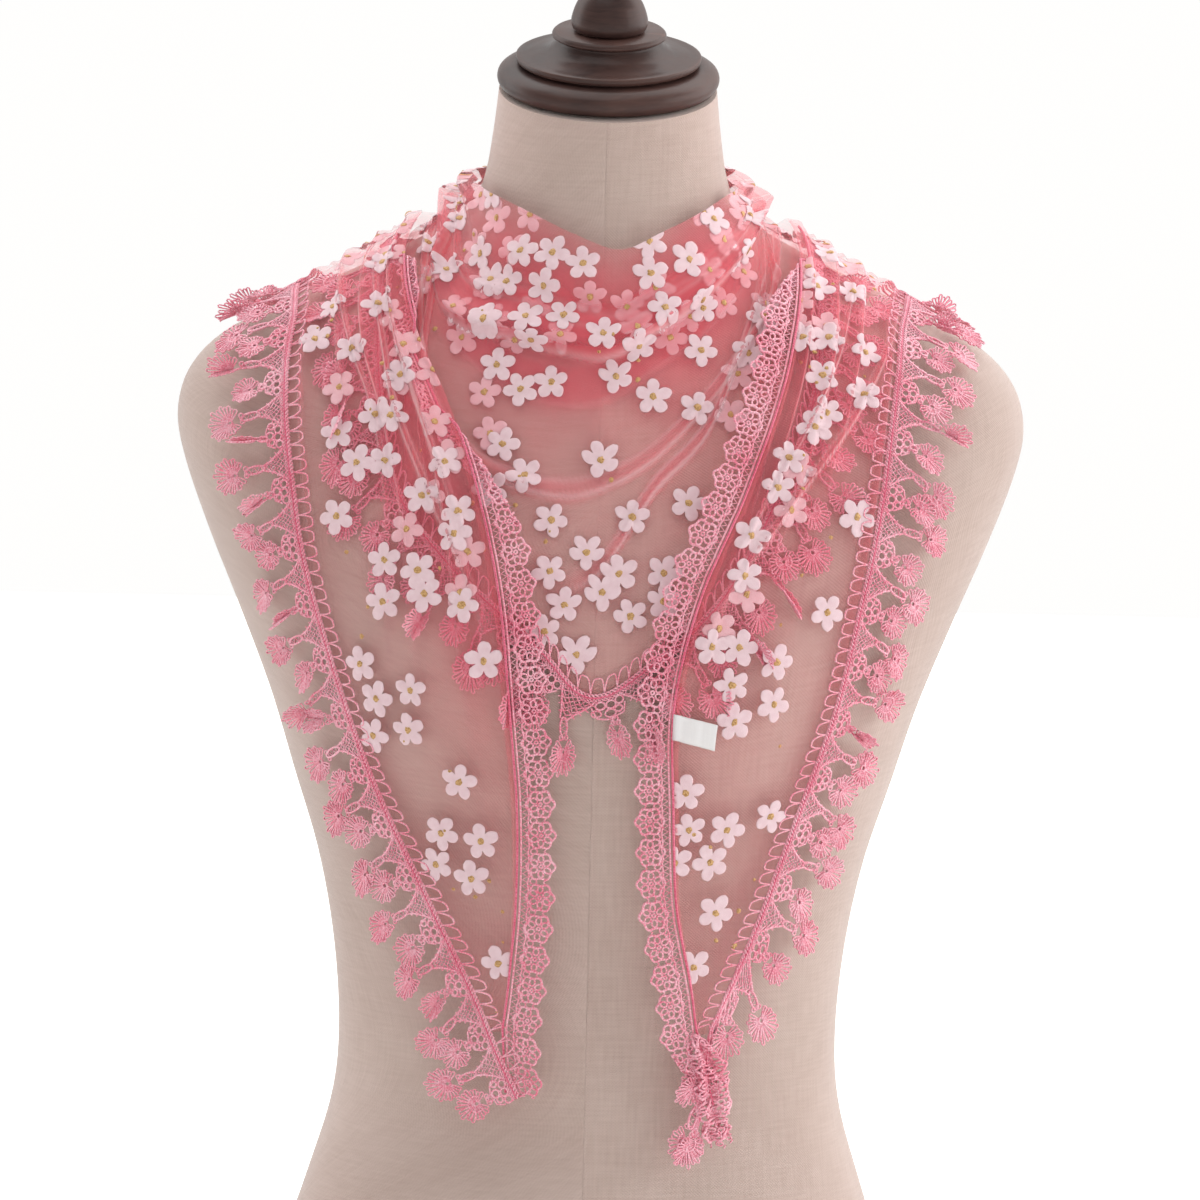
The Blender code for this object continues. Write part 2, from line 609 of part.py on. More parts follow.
def main():
    """Build the form, the five stretches of net, their lace and the label."""
    clear_scene()
    group = bpy.data.collections.new("lace_shawl_on_dress_form")
    bpy.context.scene.collection.children.link(group)
    build_form(group)
    build_turned("form_neck_cap", CAP_PROFILE, CAP_SIDES, group)
    build_turned("form_finial", FINIAL_PROFILE, FINIAL_SIDES, group)

    build_cloth("front_drape", FRONT, group)
    build_leaf_lace("leaf_lace_front", Edge(FRONT, FRONT_HEM), group)
    for side in ("left", "right"):
        build_cloth("wrap_" + side, WRAPS[side], group)
        build_cloth("end_" + side, ENDS[side], group)
        build_leaf_lace("leaf_lace_end_" + side, Edge(ENDS[side], END_HEM), group)
        build_scallop_lace("scallop_lace_" + side, Edge(ENDS[side], INNER_HEM), group)
    build_leaf_lace("leaf_lace_back_left", Edge(WRAPS["right"], BACK_LEFT_HEM), group)
    build_leaf_lace("leaf_lace_back_right", Edge(WRAPS["left"], BACK_RIGHT_HEM), group)
    build_label(ENDS["right"], group)


main()
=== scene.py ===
# %% [markdown]
# # A lace shawl on a dress form
# The shawl is one long flat triangle of sheer tulle. Narrow flower lace edges its long side,
# and wide lace with leaf pendants edges its two short sides. It is worn on a linen dress form:
# the point hangs at the front, the halves cross behind the neck, and the ends come forward
# over the shoulders. The frame holds the plain solids. This lesson makes what the eye sees.

# %% Load the frame
from collections import namedtuple
from math import cos, pi, radians, sin

import bpy
import numpy as np
from mathutils import Euler, Matrix, Vector
from mathutils.bvhtree import BVHTree


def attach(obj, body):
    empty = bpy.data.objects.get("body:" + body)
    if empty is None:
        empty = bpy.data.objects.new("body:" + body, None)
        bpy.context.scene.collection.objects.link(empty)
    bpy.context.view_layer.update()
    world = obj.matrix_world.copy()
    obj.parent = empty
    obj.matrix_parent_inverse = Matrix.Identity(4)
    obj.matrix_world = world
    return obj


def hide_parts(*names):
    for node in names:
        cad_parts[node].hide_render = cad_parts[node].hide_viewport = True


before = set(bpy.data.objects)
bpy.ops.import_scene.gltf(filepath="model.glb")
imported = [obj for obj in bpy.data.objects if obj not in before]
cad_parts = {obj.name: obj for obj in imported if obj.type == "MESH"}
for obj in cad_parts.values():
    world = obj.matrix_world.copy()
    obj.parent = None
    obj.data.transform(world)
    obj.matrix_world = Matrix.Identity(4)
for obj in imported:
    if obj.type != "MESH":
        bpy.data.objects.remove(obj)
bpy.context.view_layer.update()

MM = 0.001
print("nodes in the frame:", ", ".join(sorted(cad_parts)))

# %% [markdown]
# ## Making meshes from arrays
# Cloth, lace and turned wood are all rows of points joined by quads. One helper turns arrays
# of points and quads into a smooth mesh, with texture coordinates in metres, so that a weave
# keeps its real size everywhere.

# %% A piece from arrays
def new_object(name, data):
    """An object linked to the scene."""
    made = bpy.data.objects.new(name, data)
    bpy.context.scene.collection.objects.link(made)
    return made


def new_piece(name, points, quads, finish, uv=None, caps=()):
    """A smooth mesh object from arrays. uv is one pair a point, in metres."""
    points = np.asarray(points, float).reshape(-1, 3)
    faces = np.asarray(quads, int).reshape(-1, 4).tolist() + [list(cap) for cap in caps]
    mesh = bpy.data.meshes.new(name)
    mesh.from_pydata(points.tolist(), [], faces)
    if uv is not None:
        corners = np.zeros(len(mesh.loops), int)
        mesh.loops.foreach_get("vertex_index", corners)
        layer = mesh.uv_layers.new(name="UVMap")
        layer.data.foreach_set("uv", np.asarray(uv, float).reshape(-1, 2)[corners].ravel())
    mesh.materials.append(finish)
    mesh.shade_smooth()
    return new_object(name, mesh)


def beside(*parts):
    """Arrays side by side, as the x, y and z of points."""
    return np.stack(parts, axis=-1)


def grid_quads(rows, columns, first=0, closed=False):
    """Quads of a grid of points, row after row. A closed grid joins its last column to
    its first."""
    row = np.arange(rows - 1)[:, None] * columns
    column = np.arange(columns if closed else columns - 1)[None]
    after = (column + 1) % columns
    quads = beside(row + column, row + after, row + columns + after,
                   row + columns + column)
    return quads.reshape(-1, 4) + first


# %% Lengths, directions and places between rows
def size_of(vectors):
    """The length of each vector in an array."""
    return np.linalg.norm(vectors, axis=-1)


def unit(vectors, least=0.0):
    """Each vector in an array at length 1. least keeps a zero vector from dividing by 0."""
    return vectors / (size_of(vectors) + least)[..., None]


def between(table, place):
    """Rows at fractional indices, on smooth curves through a table's rows."""
    place = np.clip(np.asarray(place, float), 0, len(table) - 1)
    step = np.minimum(place.astype(int), len(table) - 2)
    share = (place - step)[..., None]
    before, start = table[np.maximum(step - 1, 0)], table[step]
    end, after = table[step + 1], table[np.minimum(step + 2, len(table) - 1)]
    curve = 2 * start + (end - before) * share
    curve = curve + (2 * before - 5 * start + 4 * end - after) * share ** 2
    return (curve + (3 * start - before - 3 * end + after) * share ** 3) / 2


print("a row between two:", between(np.array([[0.0], [1.0], [4.0]]), 1.5).round(3))


# %% A finished piece
def finish_piece(made, replaced=()):
    """Ride the shawl's one body, and hide what it stands for."""
    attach(made, "root")
    if replaced:
        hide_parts(*replaced)
    shown = made.evaluated_get(bpy.context.evaluated_depsgraph_get()).data
    shown.calc_loop_triangles()
    print(f"{made.name}: {len(shown.loop_triangles)} triangles")
    return made


# %% [markdown]
# ## Shader groups
# Linen, lace, tape and flock share a few effects: the over and under of a weave, the twist
# of a thread, and soft uneven colour. Each effect is a node group, built once and given its
# own numbers in each material. The Principled shader stays in the material.

# %% Helpers for nodes
class Nodes:
    """A node tree, with short ways to add to it and to join what is added."""

    def __init__(self, tree):
        self.tree = tree

    def feed(self, value, socket):
        """Link a socket's output, or set a plain value."""
        if isinstance(value, bpy.types.NodeSocket):
            self.tree.links.new(value, socket)
        else:
            socket.default_value = value

    def add(self, kind, inputs=None, **settings):
        """A shader node with its settings, and its inputs by name or number."""
        made = self.tree.nodes.new("ShaderNode" + kind)
        for key, value in settings.items():
            setattr(made, key, value)
        for key, value in (inputs or {}).items():
            self.feed(value, made.inputs[key])
        return made

    def use(self, group, vector, **inputs):
        """A group placed in this tree: its first output."""
        return self.add("Group", {"Vector": vector, **inputs}, node_tree=group).outputs[0]

    def math(self, operation, *values):
        """The output of one Math node."""
        return self.add("Math", dict(enumerate(values)), operation=operation).outputs[0]

    def span(self, value, low, high, start, end):
        """A value's range from low to high turned into start to end."""
        return self.add("MapRange", {0: value, 1: low, 2: high, 3: start, 4: end}).outputs[0]

    def scaled(self, vector, factors):
        """A vector with each of its parts multiplied."""
        return self.add("VectorMath", {0: vector, 1: factors},
                        operation="MULTIPLY").outputs[0]

    def mix(self, factor, low, high):
        """A colour between two, by a factor that changes over the surface."""
        low, high = ((*tone, 1.0) if isinstance(tone, tuple) else tone
                     for tone in (low, high))
        return self.add("Mix", {0: factor, 6: low, 7: high}, data_type="RGBA").outputs[2]


def new_group(name, takes, gives):
    """A node group that takes a vector and floats and gives floats."""
    tree = bpy.data.node_groups.new(name, "ShaderNodeTree")
    tree.interface.new_socket("Vector", in_out="INPUT", socket_type="NodeSocketVector")
    for label, value in takes.items():
        socket = tree.interface.new_socket(label, in_out="INPUT",
                                           socket_type="NodeSocketFloat")
        socket.default_value = value
    for label in gives:
        tree.interface.new_socket(label, in_out="OUTPUT", socket_type="NodeSocketFloat")
    start, end = tree.nodes.new("NodeGroupInput"), tree.nodes.new("NodeGroupOutput")
    return Nodes(tree), start.outputs, end.inputs


# %% Plain weave
def plain_weave_group():
    """Threads over and under each other, thicker slubs, and painted shade in the hollows."""
    nodes, given, result = new_group("Plain weave", {"Threads": 1600.0, "Slub": 0.5},
                                     ["Height", "Shade"])
    threads = nodes.add("VectorMath", {0: given["Vector"], "Scale": given["Threads"]},
                        operation="SCALE").outputs[0]
    apart = nodes.add("SeparateXYZ", {0: threads}).outputs
    warp, weft = (nodes.math("SINE", nodes.math("MULTIPLY", apart[axis], pi))
                  for axis in (0, 1))
    over = nodes.math("MULTIPLY_ADD", nodes.math("MULTIPLY", warp, weft), 0.5, 0.5)
    slubs = [nodes.add("TexNoise", {"Vector": nodes.scaled(threads, stretch), "Scale": 1.0,
                                    "Detail": 2.0}).outputs[0]
             for stretch in ((0.035, 0.5, 0.5), (0.5, 0.035, 0.5))]
    slub = nodes.math("SUBTRACT", nodes.math("ADD", *slubs), 1.0)
    raised = nodes.math("MULTIPLY", slub, given["Slub"])
    nodes.feed(nodes.math("ADD", over, raised), result["Height"])
    shade = nodes.math("MULTIPLY_ADD", raised, 1.6, 0.5)
    # painted shade: the raised threads are lighter and the hollows darker
    weave_painted_shade = nodes.math("SUBTRACT", over, 0.5)
    nodes.feed(nodes.math("MULTIPLY_ADD", weave_painted_shade, 0.35, shade), result["Shade"])
    return nodes.tree


PLAIN_WEAVE = plain_weave_group()


# %% Twisted thread
def twist_group():
    """The slanting strands of a twisted thread: x runs along it, y once round it."""
    nodes, given, result = new_group("Twisted thread", {"Turns": 700.0}, ["Height"])
    apart = nodes.add("SeparateXYZ", {0: given["Vector"]}).outputs
    along = nodes.math("MULTIPLY", apart[0], given["Turns"])
    phase = nodes.math("MULTIPLY", nodes.math("ADD", along, apart[1]), 2 * pi)
    wave = nodes.math("MULTIPLY_ADD", nodes.math("SINE", phase), 0.5, 0.5)
    nodes.feed(wave, result["Height"])
    return nodes.tree


TWISTED_THREAD = twist_group()


# %% Soft mottling
def mottle_group():
    """Soft patches between a low and a high value."""
    nodes, given, result = new_group("Soft mottling", {"Scale": 10.0, "Low": 0.0,
                                                       "High": 1.0}, ["Value"])
    noise = nodes.add("TexNoise", {"Vector": given["Vector"], "Scale": given["Scale"],
                                   "Detail": 3.0}).outputs[0]
    nodes.feed(nodes.span(noise, 0.3, 0.7, given["Low"], given["High"]), result["Value"])
    return nodes.tree


SOFT_MOTTLING = mottle_group()
print("shader groups:", ", ".join(group.name for group in bpy.data.node_groups))


# %% The start of every material
class Finish(Nodes):
    """A material with one Principled shader, and the constants on its own sockets."""

    def __init__(self, name, colour, roughness, **sockets):
        self.material = bpy.data.materials.new(name)
        self.material.use_nodes = True
        super().__init__(self.material.node_tree)
        self.shader = self.tree.nodes["Principled BSDF"].inputs
        self.shader["Base Color"].default_value = (*colour, 1.0)
        self.shader["Roughness"].default_value = roughness
        for label, value in sockets.items():
            self.shader[label.replace("_", " ")].default_value = value

    def place(self, kind="UVMap"):
        """The place on the surface: in metres of cloth, or in the object's own frame."""
        made = self.add(kind)
        return made.outputs["Object"] if kind == "TexCoord" else made.outputs[0]

    def mottle(self, vector, scale, low, high):
        """Soft patches."""
        return self.use(SOFT_MOTTLING, vector, Scale=scale, Low=low, High=high)

    def paint(self, factor, low, high):
        """The colour between two, by a factor that changes over the surface."""
        self.feed(self.mix(factor, low, high), self.shader["Base Color"])

    def bump(self, height, distance, strength=1.0):
        """Feed a height to the shader's normal through a Bump node."""
        made = self.add("Bump", {"Height": height, "Distance": distance,
                                 "Strength": strength})
        self.feed(made.outputs[0], self.shader["Normal"])


# %% [markdown]
# ## The linen
# The form is covered in unbleached linen, drawn tight and glued. Its weave is fine, with
# slubs where a thread was thick, and its colour drifts a little from patch to patch. Threads
# a fraction of a millimetre thick are too many to model, so a bump raises them instead.

# %% Linen
def linen_material():
    """Plain-woven linen: weave with painted shade in its hollows, slubs and faint patches."""
    linen = Finish("linen_cover", (0.60, 0.46, 0.40), 0.88, Sheen_Weight=0.45,
                   Sheen_Roughness=0.35)
    place = linen.place()
    weave = linen.add("Group", {"Vector": place, "Threads": 1500.0, "Slub": 0.6},
                      node_tree=PLAIN_WEAVE).outputs
    shade = linen.math("ADD", weave["Shade"], linen.mottle(place, 14.0, -0.22, 0.22))
    linen.paint(shade, (0.49, 0.365, 0.317), (0.60, 0.47, 0.42))
    linen.bump(weave["Height"], 0.00018, 0.7)
    return linen.material


LINEN = linen_material()

# %% [markdown]
# ## The torso
# A torso is a loft: rings from the neck to the hips, each a squashed ellipse that tilts as
# the shoulders need. The same named sizes that gave the solid give a finer skin here. Six
# long seams run down it, so the columns of points are gathered at each seam and sink into
# it, which shows better than a painted line.

# %% The rings of the form
Ring = namedtuple("Ring", "half front back z_front z_side z_back pad_front pad_side pad_back")
FORM_RINGS = np.array([
    (50, 64, 36, 719.8, 738, 756.2, 0, 0, 0), (52.5, 62, 42, 708, 717, 727, 2, 2, 2),
    (56, 60.5, 50, 684, 698, 706, 4, 4, 4), (63, 61, 60, 660, 682, 687, 6, 5, 6),
    (80, 65, 71, 639, 671, 668, 4, 2, 4), (110, 72, 81, 616, 656, 647, 1, 0.5, 1),
    (145, 80, 89, 592, 639.5, 621, 0, 0, 0), (176, 87, 95, 569, 623, 596, 0, 0, 0),
    (192, 93, 99, 549, 606, 572, 0, 0, 0), (197, 98, 101, 529, 587, 548, 0, 0, 0),
    (193, 102, 102, 509, 565, 523, 0, 0, 0), (181, 104.5, 101, 488, 532, 499, 0, 0, 0),
    (166, 105.5, 98.5, 465, 496, 472, 0, 0, 0), (151, 104, 94.5, 439, 458, 443, 2, 1, 0),
    (139, 100, 89.5, 410, 420, 412, 5, 2, 0), (127.5, 94.5, 84, 378, 383, 379, 8, 3, 0),
    (120, 89, 79.5, 342, 344, 342, 11, 3, 0), (116.5, 86, 77, 303, 303, 303, 12, 2, 0),
    (119, 87, 80, 268, 268, 268, 10, 0, 0), (131, 91.5, 91, 227, 227, 227, 4, 0, 0),
    (147, 98, 105, 177, 177, 177, 0, 0, 0), (157, 103, 115, 122, 122, 122, 0, 0, 0),
    (159, 104, 117, 66, 66, 66, 0, 0, 0), (156, 102, 114, 14, 14, 14, 0, 0, 0),
    (152, 98, 110, 0, 0, 0, 0, 0, 0),
])
BUST_HEIGHT, BUST_SPREAD, BUST_RISE, BUST_RADIUS = 0.466, 0.068, 0.008, 0.048
print("height of the form in mm:", FORM_RINGS[:, 3:6].max())


# %% A point of the form
def form_skin(ring, angle, padded=False):
    """Points of the form, or of the guide skin over it, by ring and angle from -Y."""
    row = Ring(*np.moveaxis(between(FORM_RINGS, ring), -1, 0))
    ahead, aside = np.cos(angle), np.sin(angle)
    facing, behind = np.maximum(ahead, 0) ** 2, np.maximum(-ahead, 0) ** 2
    pad = row.pad_front * facing + row.pad_side * aside ** 2 + row.pad_back * behind
    pad = pad * padded
    x = (row.half + pad) * aside * MM
    y = ((row.back - row.front) / 2 - ((row.front + row.back) / 2 + pad) * ahead) * MM
    tilt = (row.z_front - row.z_back) / 2
    droop = (row.z_front + row.z_back) / 2 - row.z_side
    z = (row.z_side + tilt * ahead + droop * ahead ** 2) * MM
    for side in (-1, 1):
        away = (x - side * BUST_SPREAD) ** 2 + (z - BUST_HEIGHT) ** 2
        y = y - BUST_RISE * np.exp(-away / BUST_RADIUS ** 2) * np.maximum(ahead, 0)
    return beside(x, y, z)


# %% The linen torso with its seams
FORM_ROWS = 120
PANEL_COLUMNS = 18            # columns of points between two seams
SEAM_PROFILE = [(-2.4, 0.0), (-1.1, 0.10), (-0.35, -0.05), (0.0, -0.32), (0.35, -0.05),
                (1.1, 0.10), (2.4, 0.0)]          # mm aside of a seam, mm out
SEAM_MIDDLE, SEAM_REACH = len(SEAM_PROFILE) // 2, SEAM_PROFILE[-1][0]
NECK_SHARE, SHOULDER_SHARE = 0.13, 0.24           # where the back panels' seams fade out
FRONT_SEAM = 0.5                                  # its depth, as a share of the others'
# Angles of the seams from the front, in degrees, at the neck, chest, waist and hips, and
# the shares of the way down where those are
SEAM_STATIONS = [0.0, 0.5, 0.72, 1.0]
SIDE_SEAM = [90, 92, 90, 90]
BACK_PANEL_SEAM = [150, 143, 136, 146]


def seam_angles(share):
    """The six seams' angles, in order, at a share of the way down the form."""
    side, back = (np.interp(share, SEAM_STATIONS, row)
                  for row in (SIDE_SEAM, BACK_PANEL_SEAM))
    return np.radians([0, side, back, 180, 360 - back, 360 - side])


def seam_columns(seams, strengths, radius):
    """One row's angles and how far each point is raised, in mm, seam after seam."""
    angles, sinks = [], []
    for number, (here, there) in enumerate(zip(seams, np.append(seams[1:], 2 * pi))):
        start, stop = here + SEAM_REACH / radius, there - SEAM_REACH / radius
        panel = np.arange(1, PANEL_COLUMNS) / PANEL_COLUMNS
        for spots, outs in (
                ([here + aside / radius for aside, _ in SEAM_PROFILE[SEAM_MIDDLE:]],
                 [out * strengths[number] for _, out in SEAM_PROFILE[SEAM_MIDDLE:]]),
                (start + (stop - start) * panel, 0 * panel),
                ([there + aside / radius for aside, _ in SEAM_PROFILE[:SEAM_MIDDLE]],
                 [out * strengths[number + 1] for _, out in SEAM_PROFILE[:SEAM_MIDDLE]])):
            angles.extend(spots)
            sinks.extend(outs)
    return np.array(angles), np.array(sinks)


# %% The linen cover
def build_torso():
    """The linen cover: a loft whose columns gather and sink at the seams."""
    last = len(FORM_RINGS) - 1
    rows, rounds = [], []
    for share in np.arange(FORM_ROWS) / (FORM_ROWS - 1):
        ring = between(FORM_RINGS, share * last)
        radius = (ring[0] + (ring[1] + ring[2]) / 2) / 2
        fade = np.clip((share - NECK_SHARE) / (SHOULDER_SHARE - NECK_SHARE), 0, 1)
        strengths = [FRONT_SEAM, 1.0, fade, 1.0, fade, 1.0, FRONT_SEAM]
        angles, sinks = seam_columns(seam_angles(share), strengths, radius)
        points = form_skin(np.full(len(angles), share * last), angles)
        outward = points - np.mean(points, axis=0)
        outward[:, 2] = 0
        rows.append(points + unit(outward, 1e-9) * sinks[:, None] * MM)
        rounds.append(angles * radius * MM)
    points = np.array(rows)
    columns = points.shape[1]
    down = np.cumsum(size_of(np.diff(points[:, 0], axis=0, prepend=points[:1, 0])))
    uv = beside(rounds, np.repeat(down[:, None], columns, axis=1))
    quads = grid_quads(FORM_ROWS, columns, closed=True)[:, ::-1]
    top = list(range(columns))
    bottom = [(FORM_ROWS - 1) * columns + column for column in reversed(top)]
    made = new_piece("form_linen", points, quads, LINEN, uv, [top, bottom])
    made.data.set_sharp_from_angle(angle=radians(60))
    return finish_piece(made, ["form_torso"])


build_torso()

# %% [markdown]
# ## Turned wood
# The neck is closed by a stack of turned discs, and a knob stands on it. Cylinders could be
# stacked, but turned work is one profile spun round an axis, so a curve and a Screw modifier
# do it. The profile's corners are softened first, because a lathe and years of polish leave
# none sharp. The varnish is a clear coat over dark stained grain.

# %% Dark varnished wood
def wood_material():
    """Nearly black stained wood, browner on its edges: rubbed wear and a painted highlight."""
    wood = Finish("dark_wood", (0.045, 0.03, 0.027), 0.42, Specular_IOR_Level=0.2,
                  Coat_Weight=0.14, Coat_Roughness=0.14)
    place = wood.place("TexCoord")
    grain = wood.add("TexNoise", {"Vector": wood.scaled(place, (1.0, 1.0, 7.0)),
                                  "Scale": 60.0, "Detail": 6.0,
                                  "Distortion": 1.2}).outputs[0]
    edge_wear_and_highlight = wood.add("NewGeometry").outputs["Pointiness"]
    # browner on sharp edges: partly rubbed wear, partly a painted highlight
    edge = wood.span(edge_wear_and_highlight, 0.50, 0.60, 0.0, 0.7)
    patches = wood.mottle(place, 30.0, 0.0, 0.35)
    shade = wood.math("ADD", wood.math("MULTIPLY_ADD", grain, 0.5, patches), edge)
    wood.paint(shade, (0.010, 0.007, 0.008), (0.115, 0.056, 0.045))
    wood.feed(wood.math("MULTIPLY_ADD", grain, 0.25, 0.28), wood.shader["Roughness"])
    wood.bump(grain, 0.0002, 0.5)
    return wood.material


DARK_WOOD = wood_material()

# %% The neck cap and the finial
# Radius and height along the neck's axis, in mm, from the middle of the top outwards
CAP_PROFILE = [
    (0, 27), (25, 27), (26, 26), (26, 24.5), (23.5, 23), (28, 18.5), (36, 16.5), (41.5, 16),
    (42.5, 15), (42, 13), (39.5, 12), (45, 11.2), (49.5, 9), (51, 6), (50.5, 3), (48.5, 0.6),
    (46, 0), (0, 0),
]
FINIAL_PROFILE = [
    (0, 71), (4, 70.5), (6, 68.5), (6, 66.5), (4.5, 65), (7.5, 63.5), (11, 60), (12.5, 55),
    (11.5, 50), (8.5, 46.8), (8.5, 46), (11.5, 44.5), (15, 40), (17.2, 34), (17.5, 30.5),
    (16.5, 28), (15, 27.3), (0, 27.3),
]
NECK_TILT = radians(20)       # the cap leans forward with the neck
TURNED_SIDES, PROFILE_STEPS = 96, 5           # round it, and between two profile points
CAP_LIFT = 0.6 * MM           # the cap's seat above the cut of the neck


def build_turned(name, profile, node):
    """A smooth curve through the profile, spun with a Screw modifier."""
    table = np.array(profile, float)
    spans = len(table) - 3
    inner = between(table[1:-1], np.linspace(0, spans, spans * PROFILE_STEPS + 1))
    line = np.vstack([table[:1], inner, table[-1:]]) * MM
    points = [(max(radius, 0.0), 0.0, height) for radius, height in line]
    mesh = bpy.data.meshes.new(name)
    mesh.from_pydata(points, [(step, step + 1) for step in range(len(points) - 1)], [])
    mesh.materials.append(DARK_WOOD)
    made = new_object(name, mesh)
    screw = made.modifiers.new("turn", "SCREW")
    screw.steps = screw.render_steps = TURNED_SIDES
    screw.use_merge_vertices = True
    screw.merge_threshold = 0.00001
    screw.use_smooth_shade = True
    top = Ring(*FORM_RINGS[0])
    made.rotation_euler = Euler((NECK_TILT, 0, 0))
    made.location = (0, (top.back - top.front) / 2 * MM - CAP_LIFT * sin(NECK_TILT),
                     top.z_side * MM + CAP_LIFT * cos(NECK_TILT))
    return finish_piece(made, [node])


build_turned("neck_cap", CAP_PROFILE, "form_neck_cap")
build_turned("finial_knob", FINIAL_PROFILE, "form_finial")

# %% [markdown]
# ## Laying cloth on the form
# A cloth simulation would drape the shawl in its own way, and differently each time. This
# shawl has to hang as it was arranged by hand, so every fold is placed instead. Each
# stretch is worked out over a guide skin: the form, padded a little where cloth hangs free.

# %% The guide skin
GUIDE_BANDS, GUIDE_SIDES = 150, 120


class Guide:
    """The smooth skin that the cloth is laid over."""

    def __init__(self):
        last = len(FORM_RINGS) - 1
        ring = np.repeat(np.linspace(0, last, GUIDE_BANDS + 1)[:, None], GUIDE_SIDES, axis=1)
        angle = np.repeat(np.arange(GUIDE_SIDES)[None] * 2 * pi / GUIDE_SIDES,
                          GUIDE_BANDS + 1, axis=0)
        self.points = form_skin(ring, angle, padded=True)
        across = np.roll(self.points, -1, axis=1) - np.roll(self.points, 1, axis=1)
        normals = np.cross(np.gradient(self.points, axis=0), across)
        self.points = self.points.reshape(-1, 3)
        self.normals = unit(normals).reshape(-1, 3)
        self.faces = grid_quads(GUIDE_BANDS + 1, GUIDE_SIDES, closed=True)[:, ::-1]
        self.tree = BVHTree.FromPolygons(self.points.tolist(), self.faces.tolist())

    def feet(self, near):
        """The nearest points of the skin and its normals there."""
        flat = near.reshape(-1, 3)
        hits = [self.tree.find_nearest(Vector(point)) for point in flat]
        spots = np.array([hit[0] for hit in hits])
        corners = self.faces[[hit[2] for hit in hits]]
        weight = 1 / (size_of(self.points[corners] - spots[:, None]) + MM)
        normals = unit((self.normals[corners] * weight[..., None]).sum(1))
        return spots.reshape(near.shape), normals.reshape(near.shape)


GUIDE = Guide()
middle_of_chest = GUIDE.feet(np.array([[0.0, -0.2, 0.5]]))
print("guide skin at the chest:", middle_of_chest[0].round(4), middle_of_chest[1].round(2))

# %% [markdown]
# ## Sections
# A table row is a section across the stretch: its two ends, and how far the cloth stands
# off the guide there. Points between them are dropped onto the guide and lifted again. A
# few sections are enough, because smooth curves join them. The halves cross behind the
# neck, so the right one stands further off there.

# %% The sections of each stretch
# The first end (x, y, z), the far end, and how far the cloth stands off the guide, in mm
Section = namedtuple("Section", "x1 y1 z1 lift1 x2 y2 z2 lift2")
FRONT_SECTIONS = [
    (-66, 5, 700, 2.4, -100, 5, 671, 1.5), (-60, -18, 695, 2.4, -101, -40, 640, 1.5),
    (-54, -34, 690, 2.8, -97, -62, 598, 1.5), (-44, -47, 685, 3.6, -87, -76, 553, 1.5),
    (-30, -57, 678, 4.2, -62, -92, 520, 1.5), (-12, -65, 669, 4.8, -26, -104, 489, 1.5),
    (7, -68, 663, 5, -2, -107, 467, 1.5), (24, -62, 671, 4.8, 24, -105, 481, 1.5),
    (40, -52, 680, 4.2, 53, -95, 508, 1.5), (51, -38, 688, 3.6, 77, -82, 553, 1.5),
    (57, -24, 692, 2.8, 93, -65, 596, 1.5), (62, -12, 696, 2.4, 98, -42, 638, 1.5),
    (66, 5, 700, 2.4, 100, 5, 671, 1.5),
]
WRAP_LEFT_SECTIONS = [
    (-66, 5, 700, 2.4, -100, 5, 671, 1.5), (-57, 36, 708, 2.4, -84, 40, 678, 1.5),
    (-34, 52, 712, 2.4, -50, 72, 672, 1.5), (0, 62, 706, 2.2, 0, 86, 650, 1.5),
    (30, 66, 694, 2.2, 36, 94, 624, 1.5), (58, 62, 690, 2.6, 78, 92, 608, 1.5),
    (80, 44, 681, 9, 112, 68, 620, 3), (86, 0, 682, 9.6, 140, 0, 645, 4.6),
]
WRAP_RIGHT_SECTIONS = [
    (66, 5, 700, 2.4, 100, 5, 671, 1.5), (58, 34, 711, 2.4, 78, 44, 684, 1.8),
    (42, 50, 716, 2.6, 52, 66, 689, 2.6), (22, 58, 713, 7, 30, 76, 672, 9.6),
    (-4, 62, 706, 9.6, -6, 90, 628, 9.6), (-36, 64, 697, 9.6, -46, 96, 604, 7),
    (-66, 56, 687, 9.6, -90, 86, 606, 4.6), (-84, 30, 682, 9.6, -126, 50, 632, 4.6),
    (-86, 0, 682, 9.6, -141, 0, 645, 4.6),
]
END_LEFT_SECTIONS = [
    (-86, 0, 682, 9.6, -141, 0, 645, 4.6), (-88, -28, 656, 9.6, -142, -34, 634, 4.6),
    (-80, -52, 620, 9.8, -141, -50, 606, 4.8), (-66, -68, 590, 10.2, -139, -62, 582, 4.8),
    (-52, -82, 551, 10.4, -133, -72, 549, 4.8), (-42, -94, 507, 8.6, -126, -82, 507, 4.8),
    (-37, -100, 463, 6, -112, -84, 463, 4), (-32, -100, 419, 4, -95, -86, 419, 3.2),
    (-32, -100, 374, 3.2, -73, -90, 374, 3), (-35, -98, 336, 3, -53, -94, 336, 3),
    (-38, -98, 314, 3, -43, -96, 314, 3),
]
END_RIGHT_SECTIONS = [
    (86, 0, 682, 9.6, 140, 0, 645, 4.6), (86, -28, 656, 9.6, 137, -34, 634, 4.6),
    (83, -52, 620, 9.8, 132, -50, 608, 4.8), (76, -68, 588, 10.2, 128, -62, 584, 4.8),
    (63, -82, 551, 10.4, 122, -72, 549, 4.8), (45, -94, 507, 8.6, 114, -82, 507, 4.8),
    (35, -100, 463, 6, 105, -84, 463, 4), (35, -100, 419, 4, 93, -86, 419, 3.2),
    (38, -100, 374, 3.2, 81, -90, 374, 3), (46, -98, 338, 3, 67, -94, 338, 3),
    (51, -98, 314, 3, 56, -96, 314, 3),
]
